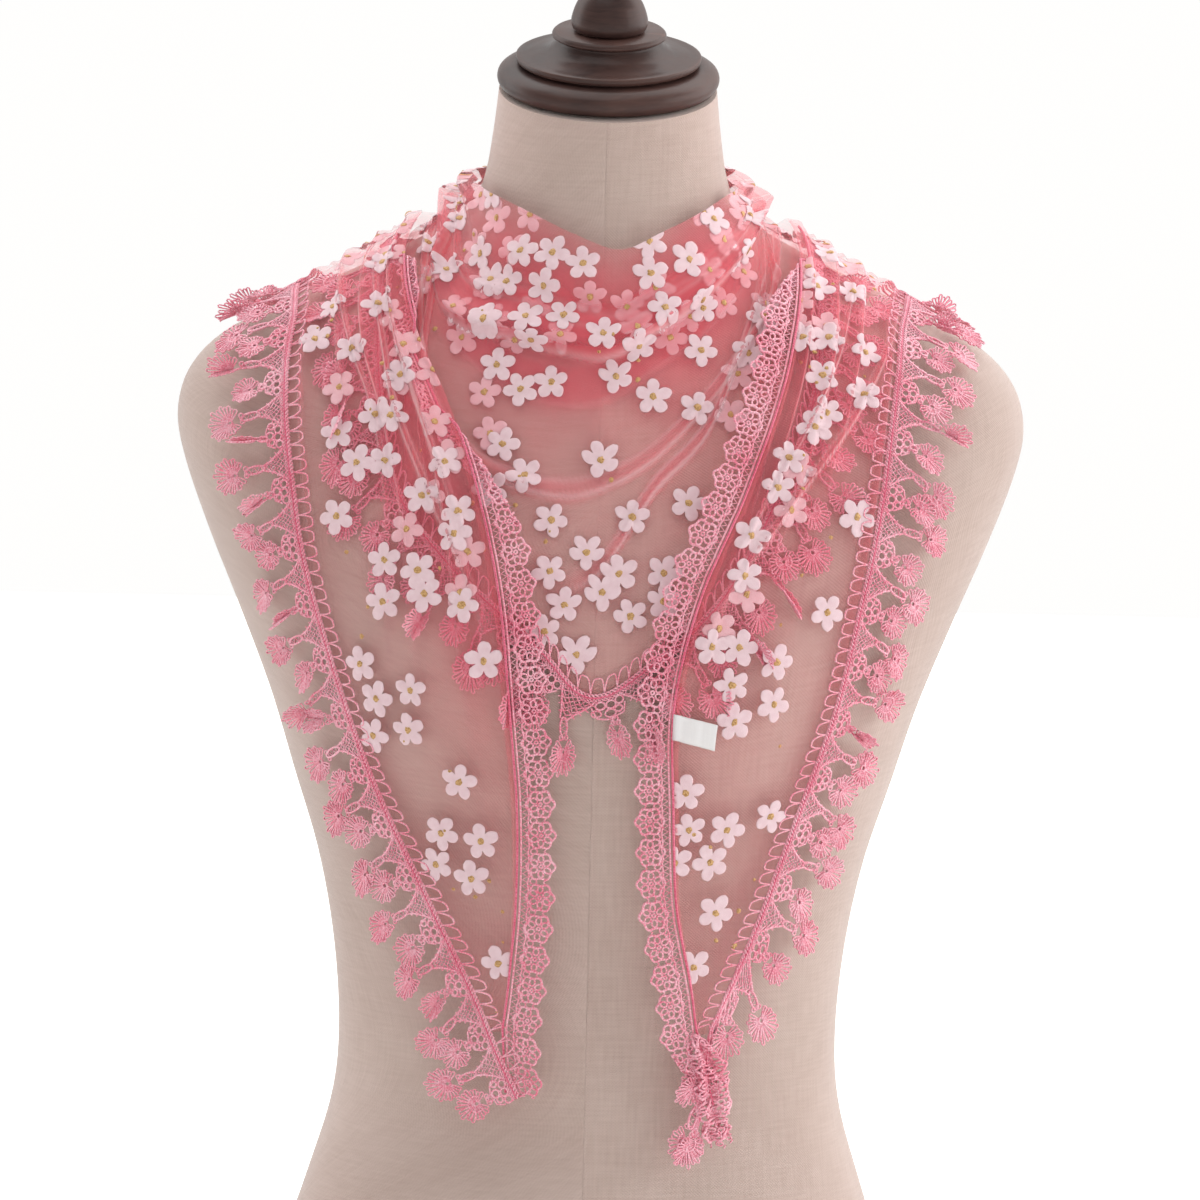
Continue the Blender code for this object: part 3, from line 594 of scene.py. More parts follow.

# %% [markdown]
# ## Creases
# A crease runs along its stretch. It wanders across it, swells and fades, and the net lies
# several plies deep on it, so it also shows as a deeper colour, darkened further as painted
# shade. The big ones are the same as the solids have. The small ones between them are what
# makes net look like net. Narrow ones are strips of net folded flat, with crisp edges. A
# painted highlight makes the creases' turned edges pale, and the flat strips pale all over.

# %% The creases of each stretch
# at, width (shares of the section), under and rise (mm): at even steps along the stretch,
# or one value for all of it. under is how much narrower the side towards the hem is, so
# that a fold overhangs. plies: how many more layers of net lie in it. lip: how strongly
# its turned edges show, as extra plies and as a painted highlight.
Crease = namedtuple("Crease", "at width under rise plies lip", defaults=(0.25,))


def creases(steps, *rows):
    """The creases of one stretch. A row with too few steps keeps its last value."""
    def full(value):
        return value if np.isscalar(value) else value + value[-1:] * (steps - len(value))
    return [Crease(*map(full, row)) for row in rows]


FRONT_CREASES = creases(
    13,
    ((0.08, 0.12, 0.16, 0.15, 0.13, 0.12, 0.1, 0.1, 0.1, 0.1, 0.1, 0.1, 0.08), 0.08, 0.8, (6, 4,
     3, 3, 3.4, 3.6, 3.6, 3.4, 3.4, 3.6, 4, 4, 6), 0.5),
    ((0.31, 0.42, 0.49, 0.42, 0.33, 0.27, 0.22, 0.21, 0.21, 0.22, 0.24, 0.28, 0.31), 0.1, 0.3,
     (11, 5.6, 4.5, 6, 7, 8, 8.5, 8, 7, 6, 5, 6.4, 11), 1.2, 0.8),
    ((0.2, 0.27, 0.33, 0.29, 0.23, 0.2, 0.165, 0.16, 0.155, 0.16, 0.17, 0.19, 0.2), 0.035, 0.5,
     (1, 2, 2.4, 2, 1.5, 1.2, 1, 1.2, 1.6, 2, 2, 1.5, 1), 0.9, 0.4),
    ((0.2, 0.3, 0.38, 0.33, 0.26, 0.21, 0.165, 0.16, 0.16, 0.17, 0.19, 0.22, 0.2), 0.055, 0.9, (0,
     0, 0.3, 0.5, 0.5, 0.5, 0.5, 0.5, 0.5, 0.4, 0.2, 0), 3.6, 0),
    ((0.4, 0.44, 0.54, 0.46, 0.43, 0.37, 0.29, 0.27, 0.27, 0.28, 0.3, 0.34, 0.4), 0.06, 1, (0, 0,
     0.2, 0.4, 0.5, 0.5, 0.5, 0.5, 0.5, 0.4, 0.2, 0), 2.2, 0.2),
    ((0.54, 0.6, 0.66, 0.7, 0.71, 0.63, 0.53, 0.52, 0.49, 0.5, 0.52, 0.53, 0.54), (0.1, 0.05,
     0.036, 0.03, 0.03, 0.03, 0.03, 0.03, 0.03, 0.03, 0.03, 0.05, 0.1), 0.7, (2.6, 3.2, 2.6, 2.4,
     2.2, 2.2, 2.2, 2.2, 2.2, 2.4, 2.6, 3.2, 2.6), 2, 1.4),
    ((0.9, 0.9, 0.9, 0.9, 0.9, 0.85, 0.72, 0.6, 0.56, 0.47, 0.4), 0.026, 0.8, (0, 0, 0, 0, 0, 0,
     1.2, 1.8, 1.8, 1.4, 0.6, 0), 2.2, 1.4),
    ((0.77, 0.78, 0.8, 0.84, 0.88, 0.84, 0.8, 0.76, 0.7, 0.68, 0.7, 0.74, 0.77), 0.09, 0.6, (2.4,
     3, 2, 1.2, 0.8, 0.6, 0.5, 0.7, 1.2, 1.8, 2.5, 3, 2.4), 0.5, 0),
    ((0.2, 0.36, 0.58, 0.8, 0.95, 1.1, 1.2), 0.05, 0.6, (0, 2.5, 3, 2.4, 1.6, 0), 1.1, 0.8),
    ((0.42, 0.5, 0.72, 0.92, 1.05, 1.2), 0.04, 0.7, (0, 1.8, 2.2, 1.6, 0.8, 0), 1, 0.6),
    ((1.2, 1.2, 1.2, 1.2, 1.2, 1.2, 1.2, 1.1, 1, 0.84, 0.62, 0.42, 0.3), 0.05, 0.7, (0, 0, 0, 0,
     0, 0, 0, 0, 1.4, 2.4, 3, 2.4, 0), 1, 1),
    ((1.2, 1.2, 1.2, 1.2, 1.2, 1.2, 1.2, 1.1, 0.92, 0.7, 0.42, 0.36, 0.3), 0.035, 0.7, (0, 0, 0,
     0, 0, 0, 0, 0, 0.8, 1.8, 2.2, 1.6, 0), 0.9, 0.7),
    ((0.94, 0.94, 0.95, 0.95, 0.95, 0.95, 0.95, 0.95, 0.95, 0.95, 0.95, 0.94), 0.08, 0.8, (2, 1.6,
     0.4, 0, 0, 0, 0, 0, 0, 0, 0.4, 1.6, 2), 0.4, 0),
)
WRAP_CREASES = creases(
    5,
    ((0.08, 0.12, 0.12, 0.11, 0.1), 0.11, 0.5, (6, 4, 4.4, 3.8, 2.4), 0.9),
    ((0.31, 0.36, 0.38, 0.37, 0.36), 0.11, 0.4, (11, 4, 4.6, 4, 2.6), 0.7),
    ((0.54, 0.6, 0.64, 0.62), 0.11, 0.5, (2.6, 3.6, 4.2, 4, 2.6), 1),
    ((0.77, 0.84, 0.88), 0.11, 0.5, (2.4, 2.8, 3, 3, 2.2), 0.8),
    ((0.94, 0.96, 0.98), 0.08, 1, (2, 0.6, 0), 0.2),
    ((0.2, 0.25, 0.22, 0.25, 0.23), 0.03, 0.8, (1, 1.4, 0.8, 1.6, 1.2), 0.8, 0.5),
    ((0.44, 0.49, 0.52, 0.5, 0.49), 0.03, 0.8, (1.2, 0.8, 1.6, 0.9, 1.4), 0.8, 0.5),
    ((0.66, 0.72, 0.75, 0.76, 0.75), 0.03, 0.8, (1, 1.5, 0.7, 1.4, 1.2), 0.7, 0.4),
)
# The ends' tables have eleven steps, one at each of their sections
END_LEFT_CREASES = creases(
    11,
    ((0.1, 0.13, 0.16, 0.17, 0.19, 0.2), (0.11, 0.14, 0.15), (0.5, 0.3, 0.15, 0.15, 0.15, 0.2,
     0.3), (2.4, 3.2, 3.6, 3.4, 2.6, 1.4, 0.7, 0.3, 0), 0.8, 0.8),
    ((0.36, 0.39, 0.4, 0.4, 0.41, 0.42), (0.11, 0.14, 0.16), (0.4, 0.3, 0.15, 0.15, 0.15, 0.2,
     0.3), (2.6, 3.4, 3.6, 3, 2, 1, 0.4, 0), 0.7, 0.9),
    ((0.62, 0.61, 0.6, 0.6, 0.62, 0.64), (0.11, 0.13, 0.14), (0.5, 0.3, 0.2, 0.2, 0.2, 0.3), (2.6,
     3, 2.4, 1.5, 0.8, 0.4, 0.2, 0), 0.4, 0.6),
    ((0.88, 0.87, 0.86, 0.85, 0.84, 0.84, 0.82, 0.8, 0.75, 0.7, 0.6), 0.09, 0.5, (2.2, 2, 1.4,
     0.9, 0.6, 0.4, 0.2, 0), 0.4, 0.3),
    ((0.3, 0.28, 0.26, 0.32, 0.26, 0.12, 0.04, 0.03), 0.024, 0.8, (0.6, 1.2, 1.8, 2, 1.8, 1, 0.2,
     0), 1.2, 1.2),
    ((0.14, 0.15, 0.16, 0.19, 0.15, 0.06, 0.03), 0.02, 0.7, (0.3, 1, 1.5, 1.5, 1, 0.3, 0), 0.9,
     1),
    ((0.62, 0.59, 0.5, 0.46, 0.49, 0.55, 0.6), 0.02, 0.7, (0.4, 1.4, 1.8, 1.4, 0.8, 0.3, 0), 1.1,
     1),
    ((0.93, 0.92, 0.91, 0.92, 0.94, 0.95, 0.96), 0.022, 0.7, (0.4, 0.9, 1.2, 1, 0.7, 0.4, 0.1, 0),
     1, 0.7),
    ((0.02, 0.02, 0.02, 0.02, 0.02, 0.02, 0.02, 0.02, 0.02, 0.03, 0.04), 0.02, 1, (0.6,), 1.6, 0),
)
END_RIGHT_CREASES = creases(
    11,
    ((0.1, 0.12, 0.13, 0.14), (0.11, 0.11, 0.1), (0.5, 0.3, 0.2, 0.2, 0.2, 0.3), (2.4, 3, 2.8,
     2.2, 1.6, 1, 0.5, 0.2, 0), 0.7, 0.7),
    ((0.36, 0.37, 0.38, 0.38, 0.36, 0.34), (0.11, 0.14, 0.16), (0.4, 0.3, 0.15, 0.15, 0.15, 0.2,
     0.3), (2.6, 3.4, 3.2, 2, 1, 0.4, 0.2, 0), 0.8, 0.8),
    ((0.62, 0.62, 0.62, 0.6, 0.56, 0.54), (0.11, 0.15, 0.17), (0.5, 0.3, 0.15, 0.15, 0.2, 0.3),
     (2.6, 3.4, 3, 1.6, 0.6, 0.2, 0), 0.8, 0.6),
    ((0.88, 0.87, 0.86, 0.85, 0.84, 0.84, 0.82, 0.8, 0.77, 0.74, 0.7), 0.09, 0.5, (2.2, 2.2, 1.6,
     0.8, 0.4, 0.2, 0), 0.5, 0.3),
    ((1, 0.96, 0.83, 0.66, 0.36, 0.14, 0.04, 0.02), 0.045, 0.7, (0, 0.8, 2, 2.4, 2.2, 1.2, 0.2,
     0), 1.4, 1.2),
    ((0.6, 0.52, 0.44, 0.32, 0.17, 0.06, 0.04, 0.02), 0.026, 0.7, (0.3, 1.2, 1.8, 2, 1, 0.3, 0),
     1.2, 1),
    ((0.02, 0.02, 0.02, 0.02, 0.02, 0.02, 0.02, 0.02, 0.02, 0.03, 0.04), 0.02, 1, (0.6,), 1.6, 0),
    ((0.93, 0.93, 0.93, 0.94, 0.95, 0.96, 0.97, 0.98), 0.05, 0.8, (0, 0.8, 1.2, 1.3, 1.2, 0.8,
     0.3, 0), 1.8, 1),
)

# %% Plies
# How many plies of net lie on each other, by rows along the stretch and columns across it
FRONT_PLIES = np.array([
    (1.0, 1.0, 1.1, 1.4, 1.8, 2.0, 2.0),
    (1.3, 2.6, 3.2, 2.6, 2.2, 2.0, 1.8),
    (1.8, 5.4, 4.4, 2.2, 1.4, 1.3, 1.3),
    (1.8, 5.0, 2.2, 1.2, 1.1, 1.0, 1.0),
    (2.2, 5.6, 4.4, 2.1, 1.5, 1.2, 1.2),
    (1.4, 3.8, 3.6, 2.8, 2.0, 1.8, 1.6),
    (1.0, 1.0, 1.1, 1.4, 1.8, 2.0, 2.0),
])
WRAP_PLIES = np.full((5, 6), 0.9)
END_LEFT_PLIES = np.array([
    (1.7, 1.8, 1.7, 1.4, 1.1, 1.0),
    (1.5, 2.6, 2.3, 1.3, 0.9, 0.9),
    (1.5, 2.0, 1.3, 0.8, 0.65, 0.7),
    (1.0, 1.0, 0.9, 0.85, 0.85, 0.9),
    (1.1, 1.1, 1.1, 1.1, 1.1, 1.1),
])
END_RIGHT_PLIES = np.array([
    (2.2, 2.2, 2.0, 1.8, 1.6, 1.5),
    (1.1, 1.5, 2.2, 2.2, 1.5, 1.1),
    (1.2, 1.3, 1.2, 0.95, 0.9, 0.9),
    (1.0, 1.0, 1.0, 1.0, 1.0, 1.0),
    (1.1, 1.1, 1.1, 1.1, 1.1, 1.1),
])
print("most plies at the front:", FRONT_PLIES.max())

# %% [markdown]
# ## The net
# Tulle is so fine that it reads as a veil. Where it tilts away from the form or lies in
# plies, more thread stands in the way and it looks denser. A see-through shader could
# guess that from the view, but then it would slide as the view turned. The plies are
# geometry, so they are worked out once for each point and stored on the mesh, and the
# material turns them into opacity.

# %% Tulle
SHADOW_LET_BY = 0.86          # light that the pale threads scatter onwards into their shadow
ONE_PLY = 0.165               # how much one ply of net hides


def tulle_material():
    """Sheer net: its opacity comes from the stored plies, its hexagons from three waves."""
    net = Finish("tulle", (0.84, 0.10, 0.12), 0.55, Sheen_Weight=1.0, Sheen_Roughness=0.6,
                 Sheen_Tint=(1.0, 0.62, 0.66, 1.0), Specular_IOR_Level=0.15)
    place = net.place()
    apart = net.add("SeparateXYZ", {0: place}).outputs
    lines = []
    for x_turns, y_turns in ((900.0, 520.0), (900.0, -520.0), (0.0, 1040.0)):
        x = net.math("MULTIPLY", apart[0], x_turns * pi)
        phase = net.math("MULTIPLY_ADD", apart[1], y_turns * pi, x)
        lines.append(net.math("ABSOLUTE", net.math("COSINE", phase)))
    nearest = net.math("MAXIMUM", lines[0], net.math("MAXIMUM", *lines[1:]))
    thread = net.math("POWER", nearest, 5.0)
    plies, pale = (net.add("Attribute", attribute_name=name).outputs["Fac"]
                   for name in ("plies", "pale"))
    hidden = net.math("SUBTRACT", 1.0, net.math("POWER", 1 - ONE_PLY, plies))
    veil = net.math("MULTIPLY", hidden, net.mottle(place, 55.0, 0.9, 1.1))
    woven = net.math("MULTIPLY", veil, net.math("MULTIPLY_ADD", thread, 0.12, 0.92))
    shadow = net.add("LightPath").outputs["Is Shadow Ray"]
    passing = net.math("MULTIPLY_ADD", shadow, -SHADOW_LET_BY, 1.0)
    alpha = net.math("MULTIPLY", woven, passing)
    net.feed(net.math("MINIMUM", alpha, 0.98), net.shader["Alpha"])
    # Deeper pink where plies pile up, made darker still as painted shade inside the folds
    plies_and_painted_shade = net.span(plies, 1.0, 5.0, 0.0, 1.0)
    colour = net.mix(plies_and_painted_shade, (0.97, 0.128, 0.185), (0.76, 0.055, 0.085))
    # painted highlight: the stored pale turns fold edges and flat strips a pale pink
    net.paint(pale, colour, (0.98, 0.66, 0.68))
    net.bump(thread, 0.00008, 0.25)
    return net.material


TULLE = tulle_material()


# %% [markdown]
# ## A stretch of cloth
# The tables say what each stretch does at a few places. A class holds the fine grid that
# they give: points, normals and plies, and a second layer close under the first where the
# net is folded. The hems, the lace and the daisies later ask it for places on the cloth.

# %% Places between a grid's points
def sample_grid(grid, i, j, *first):
    """Values between a grid's points, at fractional rows and columns. first: indices
    that come before the row's, where a grid holds many small ones."""
    i, j = np.asarray(i, float), np.asarray(j, float)
    row = np.clip(i.astype(int), 0, grid.shape[len(first)] - 2)
    column = np.clip(j.astype(int), 0, grid.shape[len(first) + 1] - 2)
    u, v = (i - row)[..., None], (j - column)[..., None]
    near, far = (grid[*first, step, column] * (1 - v) + grid[*first, step, column + 1] * v
                 for step in (row, row + 1))
    return near * (1 - u) + far * u


print("in the middle of four:", sample_grid(np.arange(4.0).reshape(2, 2, 1), 0.5, 0.5))

# %% A stretch of cloth as a fine grid
UNDER_GAP = 1.1 * MM          # how far the lower layer lies under the upper one
UNDER_RISE = 0.72             # how much of each crease the lower layer follows
TOP_PLIES = 0.35              # the upper layer's share of the plies beyond the first
EDGE_SHARE = 0.04             # over which the two layers come together at an edge
STEEPEST = 0.4                # how edge-on the net can look before it gets no denser
# Folds narrower than STRIP_WIDTH are flat strips with crisp sides, painted pale all over
# as a highlight
STRIP_PAINTED_HIGHLIGHT, STRIP_WIDTH, STRIP_EDGE = 0.12, 0.08, 3.0
LIP_PLIES, LIP_WIDTH = 2.6, 0.008    # plies and width (share) of a crease's turned edges
LIP_PLACE = 0.8                      # how far out on the crease those edges are


class Stretch:
    """One stretch of the shawl: its points, normals and plies on a fine grid, with a
    second layer close under it where the net lies in more than one ply."""

    def __init__(self, name, sections, creases, plies, runs, across, trim=(0.0, 0.0)):
        self.name = name
        self.sections = np.array(sections, float)
        self.creases = creases
        self.runs = np.linspace(trim[0], 1 - trim[1], runs)
        self.shares = np.linspace(0, 1, across)
        run, share = np.meshgrid(self.runs, self.shares, indexing="ij")
        row = Section(*np.moveaxis(between(self.sections, run * (len(sections) - 1)), -1, 0))
        start = beside(row.x1, row.y1, row.z1) * MM
        end = beside(row.x2, row.y2, row.z2) * MM
        spots, normals = GUIDE.feet(start + (end - start) * share[..., None])
        lift = (row.lift1 + (row.lift2 - row.lift1) * share) * MM
        # self.pale is a painted highlight on the creases' turned edges and flat strips
        rise, extra, self.pale = self.crease(run, share)
        self.points = spots + normals * (lift + rise)[..., None]
        sink = UNDER_GAP * np.clip(np.minimum(share, 1 - share) / EDGE_SHARE, 0, 1)
        low = lift - sink + rise * UNDER_RISE
        self.under = spots + normals * low[..., None]
        tangent = np.gradient(self.points, axis=0)
        across_it = np.gradient(self.points, axis=1)
        own = unit(np.cross(tangent, across_it), 1e-12)
        facing = (own * normals).sum(-1)
        self.normals = own * np.sign(facing)[..., None]
        base = self.spread_plies(plies, run, share)
        total = (base + extra) / np.clip(np.abs(facing), STEEPEST, 1)
        self.plies = np.minimum(total, 1 + (total - 1) * TOP_PLIES)
        self.under_plies = total - self.plies
        self.step_run = size_of(tangent) * (runs - 1)
        self.step_share = size_of(across_it) * (across - 1)

    def crease(self, run, share):
        """How far the creases raise the cloth, in metres, the plies that they add, and how
        pale their turned edges are painted, as a highlight."""
        rise, extra, pale = np.zeros_like(run), np.zeros_like(run), np.zeros_like(run)
        for crease in self.creases:
            table = np.array(np.broadcast_arrays(crease.at, crease.width, crease.under,
                                                 crease.rise)).T
            row = between(table.astype(float), run * (len(table) - 1))
            at, width, under, high = np.moveaxis(row, -1, 0)
            edge = share - at
            flat = width < STRIP_WIDTH
            lip = np.exp(-((edge - width * under * LIP_PLACE) / LIP_WIDTH) ** 2)
            other = np.exp(-((edge + width * LIP_PLACE) / LIP_WIDTH) ** 2) * flat
            lip = crease.lip * (lip + 0.5 * other)
            away = edge / width
            away = np.where(away > 0, away / under, away)
            bulge = np.where(np.abs(away) < 1, np.cos(np.clip(away, -1, 1) * pi / 2) ** 2, 0)
            rise += np.maximum(high, 0) * bulge
            strong = np.clip(high / max(crease.rise), 0, 1)
            strip = np.clip((1 - np.abs(away)) * STRIP_EDGE, 0, 1)
            folded = np.where(flat, strip, bulge)
            extra += (crease.plies * folded + LIP_PLIES * lip) * strong
            # painted highlight: turned edges, and flat strips all over, are made pale
            pale += (lip + crease.lip * STRIP_PAINTED_HIGHLIGHT * strip * flat) * strong
        return rise * MM, extra, np.clip(pale, 0, 1)

    def spread_plies(self, plies, run, share):
        """The table of plies, smoothly spread over the grid."""
        rows = between(plies, run[:, 0] * (len(plies) - 1))
        columns = np.linspace(0, 1, plies.shape[1])
        return np.array([np.interp(share[0], columns, row) for row in rows])

    def at(self, run, share, out=0.0):
        """Points and normals at shares of the run and of the section."""
        i = np.clip((np.asarray(run) - self.runs[0]) / (self.runs[-1] - self.runs[0]), 0, 1)
        i = i * (len(self.runs) - 1)
        j = np.clip(share, 0, 1) * (len(self.shares) - 1)
        points, normals = sample_grid(self.points, i, j), sample_grid(self.normals, i, j)
        normals = unit(normals)
        return points + normals * np.asarray(out)[..., None], normals

    def nearest(self, x, z):
        """The run and share of the point that lies nearest in the view from the front."""
        away = (self.points[..., 0] - x) ** 2 + (self.points[..., 2] - z) ** 2
        i, j = np.unravel_index(np.argmin(away), away.shape)
        return self.runs[i], self.shares[j]


# %% The five stretches
FRONT = Stretch("front_drape", FRONT_SECTIONS, FRONT_CREASES, FRONT_PLIES, 241, 171)
WRAPS = {side: Stretch("wrap_" + side, sections, WRAP_CREASES, WRAP_PLIES, 111, 71,
                       (0.0055, 0.0008))
         for side, sections in (("left", WRAP_LEFT_SECTIONS), ("right", WRAP_RIGHT_SECTIONS))}
ENDS = {
    "left": Stretch("end_left", END_LEFT_SECTIONS, END_LEFT_CREASES, END_LEFT_PLIES,
                    181, 121, (0.0006, 0.0)),
    "right": Stretch("end_right", END_RIGHT_SECTIONS, END_RIGHT_CREASES, END_RIGHT_PLIES,
                     181, 121, (0.0006, 0.0)),
}
print("points in the front stretch:", FRONT.points.shape[:2])

# %% The tulle pieces
LEAST_UNDER = 0.02            # plies below which the lower layer is left out
UNDER_WEAVE = 1.02            # its mesh is a little closer, so that the two don't line up


def net_layer(name, points, plies, pale, uv, quads):
    """One open sheet of tulle: its plies and painted highlight stored on its points."""
    made = new_piece(name, points, quads, TULLE, uv)
    for label, values in (("plies", plies), ("pale", pale)):
        layer = made.data.attributes.new(label, "FLOAT", "POINT")
        layer.data.foreach_set("value", values.astype(np.float32).ravel())
    return made


def build_net(stretch):
    """The tulle of one stretch: an upper layer on its solid's middle, and a lower one,
    half as fine, only where more than one ply lies there."""
    run_length = stretch.step_run[:, stretch.points.shape[1] // 2].mean()
    share_length = stretch.step_share.mean(axis=1)
    run, share = np.meshgrid(stretch.runs, stretch.shares, indexing="ij")
    uv = beside(run * run_length, (share - 0.5) * share_length[:, None])
    quads = grid_quads(*stretch.points.shape[:2])
    made = net_layer(stretch.name + "_net", stretch.points, stretch.plies, stretch.pale,
                     uv, quads)
    finish_piece(made, [stretch.name])
    under, plies, uv = (grid[::2, ::2] for grid in (stretch.under, stretch.under_plies, uv))
    quads = grid_quads(*plies.shape)
    thick = plies.ravel()[quads].max(axis=1) > LEAST_UNDER
    used, kept = np.unique(quads[thick], return_inverse=True)
    lower = net_layer(stretch.name + "_lower_layer", under.reshape(-1, 3)[used],
                      plies.ravel()[used], 0 * used, uv.reshape(-1, 2)[used] * UNDER_WEAVE,
                      kept.reshape(-1, 4))
    return made, finish_piece(lower)


def measured_cut(stretch):
    """The flat width, length and area of what shows of a stretch, in metres."""
    along, across = np.diff(stretch.points, axis=0), np.diff(stretch.points, axis=1)
    area = size_of(np.cross(along[:, :-1], across[:-1])).sum()
    return size_of(across).sum(1).max(), size_of(along).sum(0).max(), area


NETS = {"front": build_net(FRONT)}
for side in ("left", "right"):
    NETS["wrap_" + side] = build_net(WRAPS[side])
    NETS["end_" + side] = build_net(ENDS[side])

# %% [markdown]
# ## The hems
# Lace is sewn to the cloth's edge. A hem gives places along the edge and outward from it
# over the guide skin. The lace comes down from a fold over a few millimetres, and pendants
# turn partly downhill as they hang. Bending a finished strip would squash its rings at each
# turn. So the lace is drawn flat in the hem's own two directions and then laid over the body
# through a fine patch of such places.

# %% A hem and its patch
# share: 0 or 1, the side of the stretch. start and end: shares of its run. droop: how far
# pendants turn downhill. turn: metres before the end over which they turn along the edge,
# and last, how far. beyond: metres that the lace goes on past the tip, aside: how much it
# goes to the right there for each step down, and over: how far it lies over the other lace.
Hem = namedtuple("Hem", "share start end droop turn last beyond aside over",
                 defaults=(0.0, 0.0, 0.0, 0.0, 0.0))
FRONT_HEM = Hem(1, 0.03, 0.97, 0.5)
END_HEMS = {"left": Hem(1, 0.006, 0.985, 0.10, 0.060, 0.10, 0.034, 0.50, 1.6),
            "right": Hem(1, 0.006, 0.985, 0.15, 0.060, 0.85, 0.040, -0.10, 1.6)}
INNER_HEMS = {"left": Hem(0, 0.006, 0.985, 0.0, 0.0, 0.0, 0.029, 0.06),
              "right": Hem(0, 0.006, 0.985, 0.0, 0.0, 0.0, 0.036, 0.30)}
BACK_HEMS = {"left": Hem(1, 0.40, 0.99, 0.0), "right": Hem(1, 0.55, 0.99, 0.0)}


# %% An edge
class Edge:
    """The edge of a stretch that lace is sewn to."""

    SAMPLES = 160
    INWARD = 0.15             # share of the section that shows which side is in
    REACH = 5                 # samples each way that give the edge's direction
    SETTLE = 0.010            # the lace comes down from a fold over this width

    def __init__(self, stretch, hem):
        self.stretch, self.hem = stretch, hem
        self.runs = np.linspace(hem.start, hem.end, self.SAMPLES + 1)
        self.spots = stretch.at(self.runs, np.full_like(self.runs, hem.share))[0]
        inner = stretch.at(self.runs, np.full_like(self.runs, abs(hem.share - self.INWARD)))[0]
        self.gone = np.append(0, np.cumsum(size_of(np.diff(self.spots, axis=0))))
        self.length = self.gone[-1]
        feet, normals = GUIDE.feet(self.spots)
        rows = between(stretch.sections, self.runs * (len(stretch.sections) - 1))
        ends = Section(*rows.T)
        lifts = (ends.lift2 if hem.share else ends.lift1) * MM
        step = np.arange(self.SAMPLES + 1)
        ahead = unit(self.spots[np.minimum(step + self.REACH, self.SAMPLES)]
                     - self.spots[np.maximum(step - self.REACH, 0)])
        out = np.cross(ahead, normals)
        out = unit(out * np.sign((out * (self.spots - inner)).sum(1))[:, None])
        if hem.turn:
            left = self.length - self.gone
            turn = hem.last * np.clip(1 - left / hem.turn, 0, 1)[:, None]
            out = unit(out * (1 - turn) + ahead * turn)
        down = np.array([0, 0, -1.0]) + normals * normals[:, 2:]
        fall = unit(out * (1 - hem.droop) + down * hem.droop)
        side = np.cross(normals, fall)
        side *= np.sign((side * ahead).sum(1))[:, None]
        height = size_of(self.spots - feet)
        self.frames = np.hstack([self.spots, out, fall, side, height[:, None],
                                 lifts[:, None]])
        self.net_length = self.length
        if hem.beyond:
            self.go_beyond(hem)

    def go_beyond(self, hem):
        """Add two places past the stretch's tip, where only lace hangs."""
        last = np.repeat(self.frames[-1:], 2, axis=0)
        way = np.array([hem.aside, 0.0, -1.0])
        way *= hem.beyond / size_of(way)
        last[:, :3] += np.outer([0.5, 1.0], way)
        last[:, 12:] += hem.over * MM
        self.frames = np.vstack([self.frames, last])
        self.gone = np.append(self.gone, self.length + hem.beyond * np.array([0.5, 1]))
        self.runs = np.append(self.runs, self.runs[-1:].repeat(2))
        self.length += hem.beyond

    def place(self, along, outward, fallen=0.0, aside=0.0):
        """Points of the skin and normals, by distance along the edge and out from it. A
        pendant then hangs from there: fallen down its own length, aside of its middle."""
        along, outward, fallen, aside = np.broadcast_arrays(along, outward, fallen, aside)
        row = beside(*(np.interp(along, self.gone, column) for column in self.frames.T))
        spot, out, fall, side = (row[..., low:low + 3] for low in (0, 3, 6, 9))
        target = (spot + out * outward[..., None] + fall * fallen[..., None]
                  + side * aside[..., None])
        feet, normals = GUIDE.feet(target)
        settled = np.clip(outward / self.SETTLE, 0, 1)
        height = row[..., 12] + (row[..., 13] - row[..., 12]) * settled
        return feet + normals * height[..., None], normals


# %% A patch over a hem
class Patch:
    """Fine places over a hem: u along it, v out from the seam, or in over the net."""

    STEP = 1.5 * MM

    def __init__(self, edge, low, high):
        self.edge, self.low, self.high = edge, low, high
        self.length = edge.length
        u = np.linspace(0, edge.length, int(edge.length / self.STEP) + 1)
        v = np.linspace(low, high, int((high - low) / self.STEP) + 1)
        on_net = (v < 0)[None, :, None] & (u <= edge.net_length)[:, None, None]
        outer, outer_normals = edge.place(u[:, None], np.where(on_net[..., 0], 0, v[None]))
        hem, stretch = edge.hem, edge.stretch
        run = np.interp(u, edge.gone, edge.runs)
        wide = np.interp(run, stretch.runs, stretch.step_share.mean(axis=1))
        inward = np.minimum(v, 0)[None] / wide[:, None]
        share = hem.share + (inward if hem.share else -inward)
        inner, inner_normals = stretch.at(run[:, None] + 0 * share, share)
        self.points = np.where(on_net, inner, outer)
        self.normals = unit(np.where(on_net, inner_normals, outer_normals))

    def at(self, u, v, height):
        """Points and normals at u, v and a height over the patch."""
        i = np.clip(u / self.length, 0, 1) * (self.points.shape[0] - 1)
        j = (v - self.low) / (self.high - self.low) * (self.points.shape[1] - 1)
        points, normals = sample_grid(self.points, i, j), sample_grid(self.normals, i, j)
        return points + normals * np.asarray(height)[..., None], normals


# %% [markdown]
# ## Thread
# Guipure lace is all thread: cords, loops, rings and bars. A flat strip with holes in its
# material would look right only from afar. So every stroke of the pattern becomes a thin
# tube, and the gaps are real. Strokes of one kind are made together for all the repeats at
# once. Tubes are gathered into one mesh, and so are the daisies later.

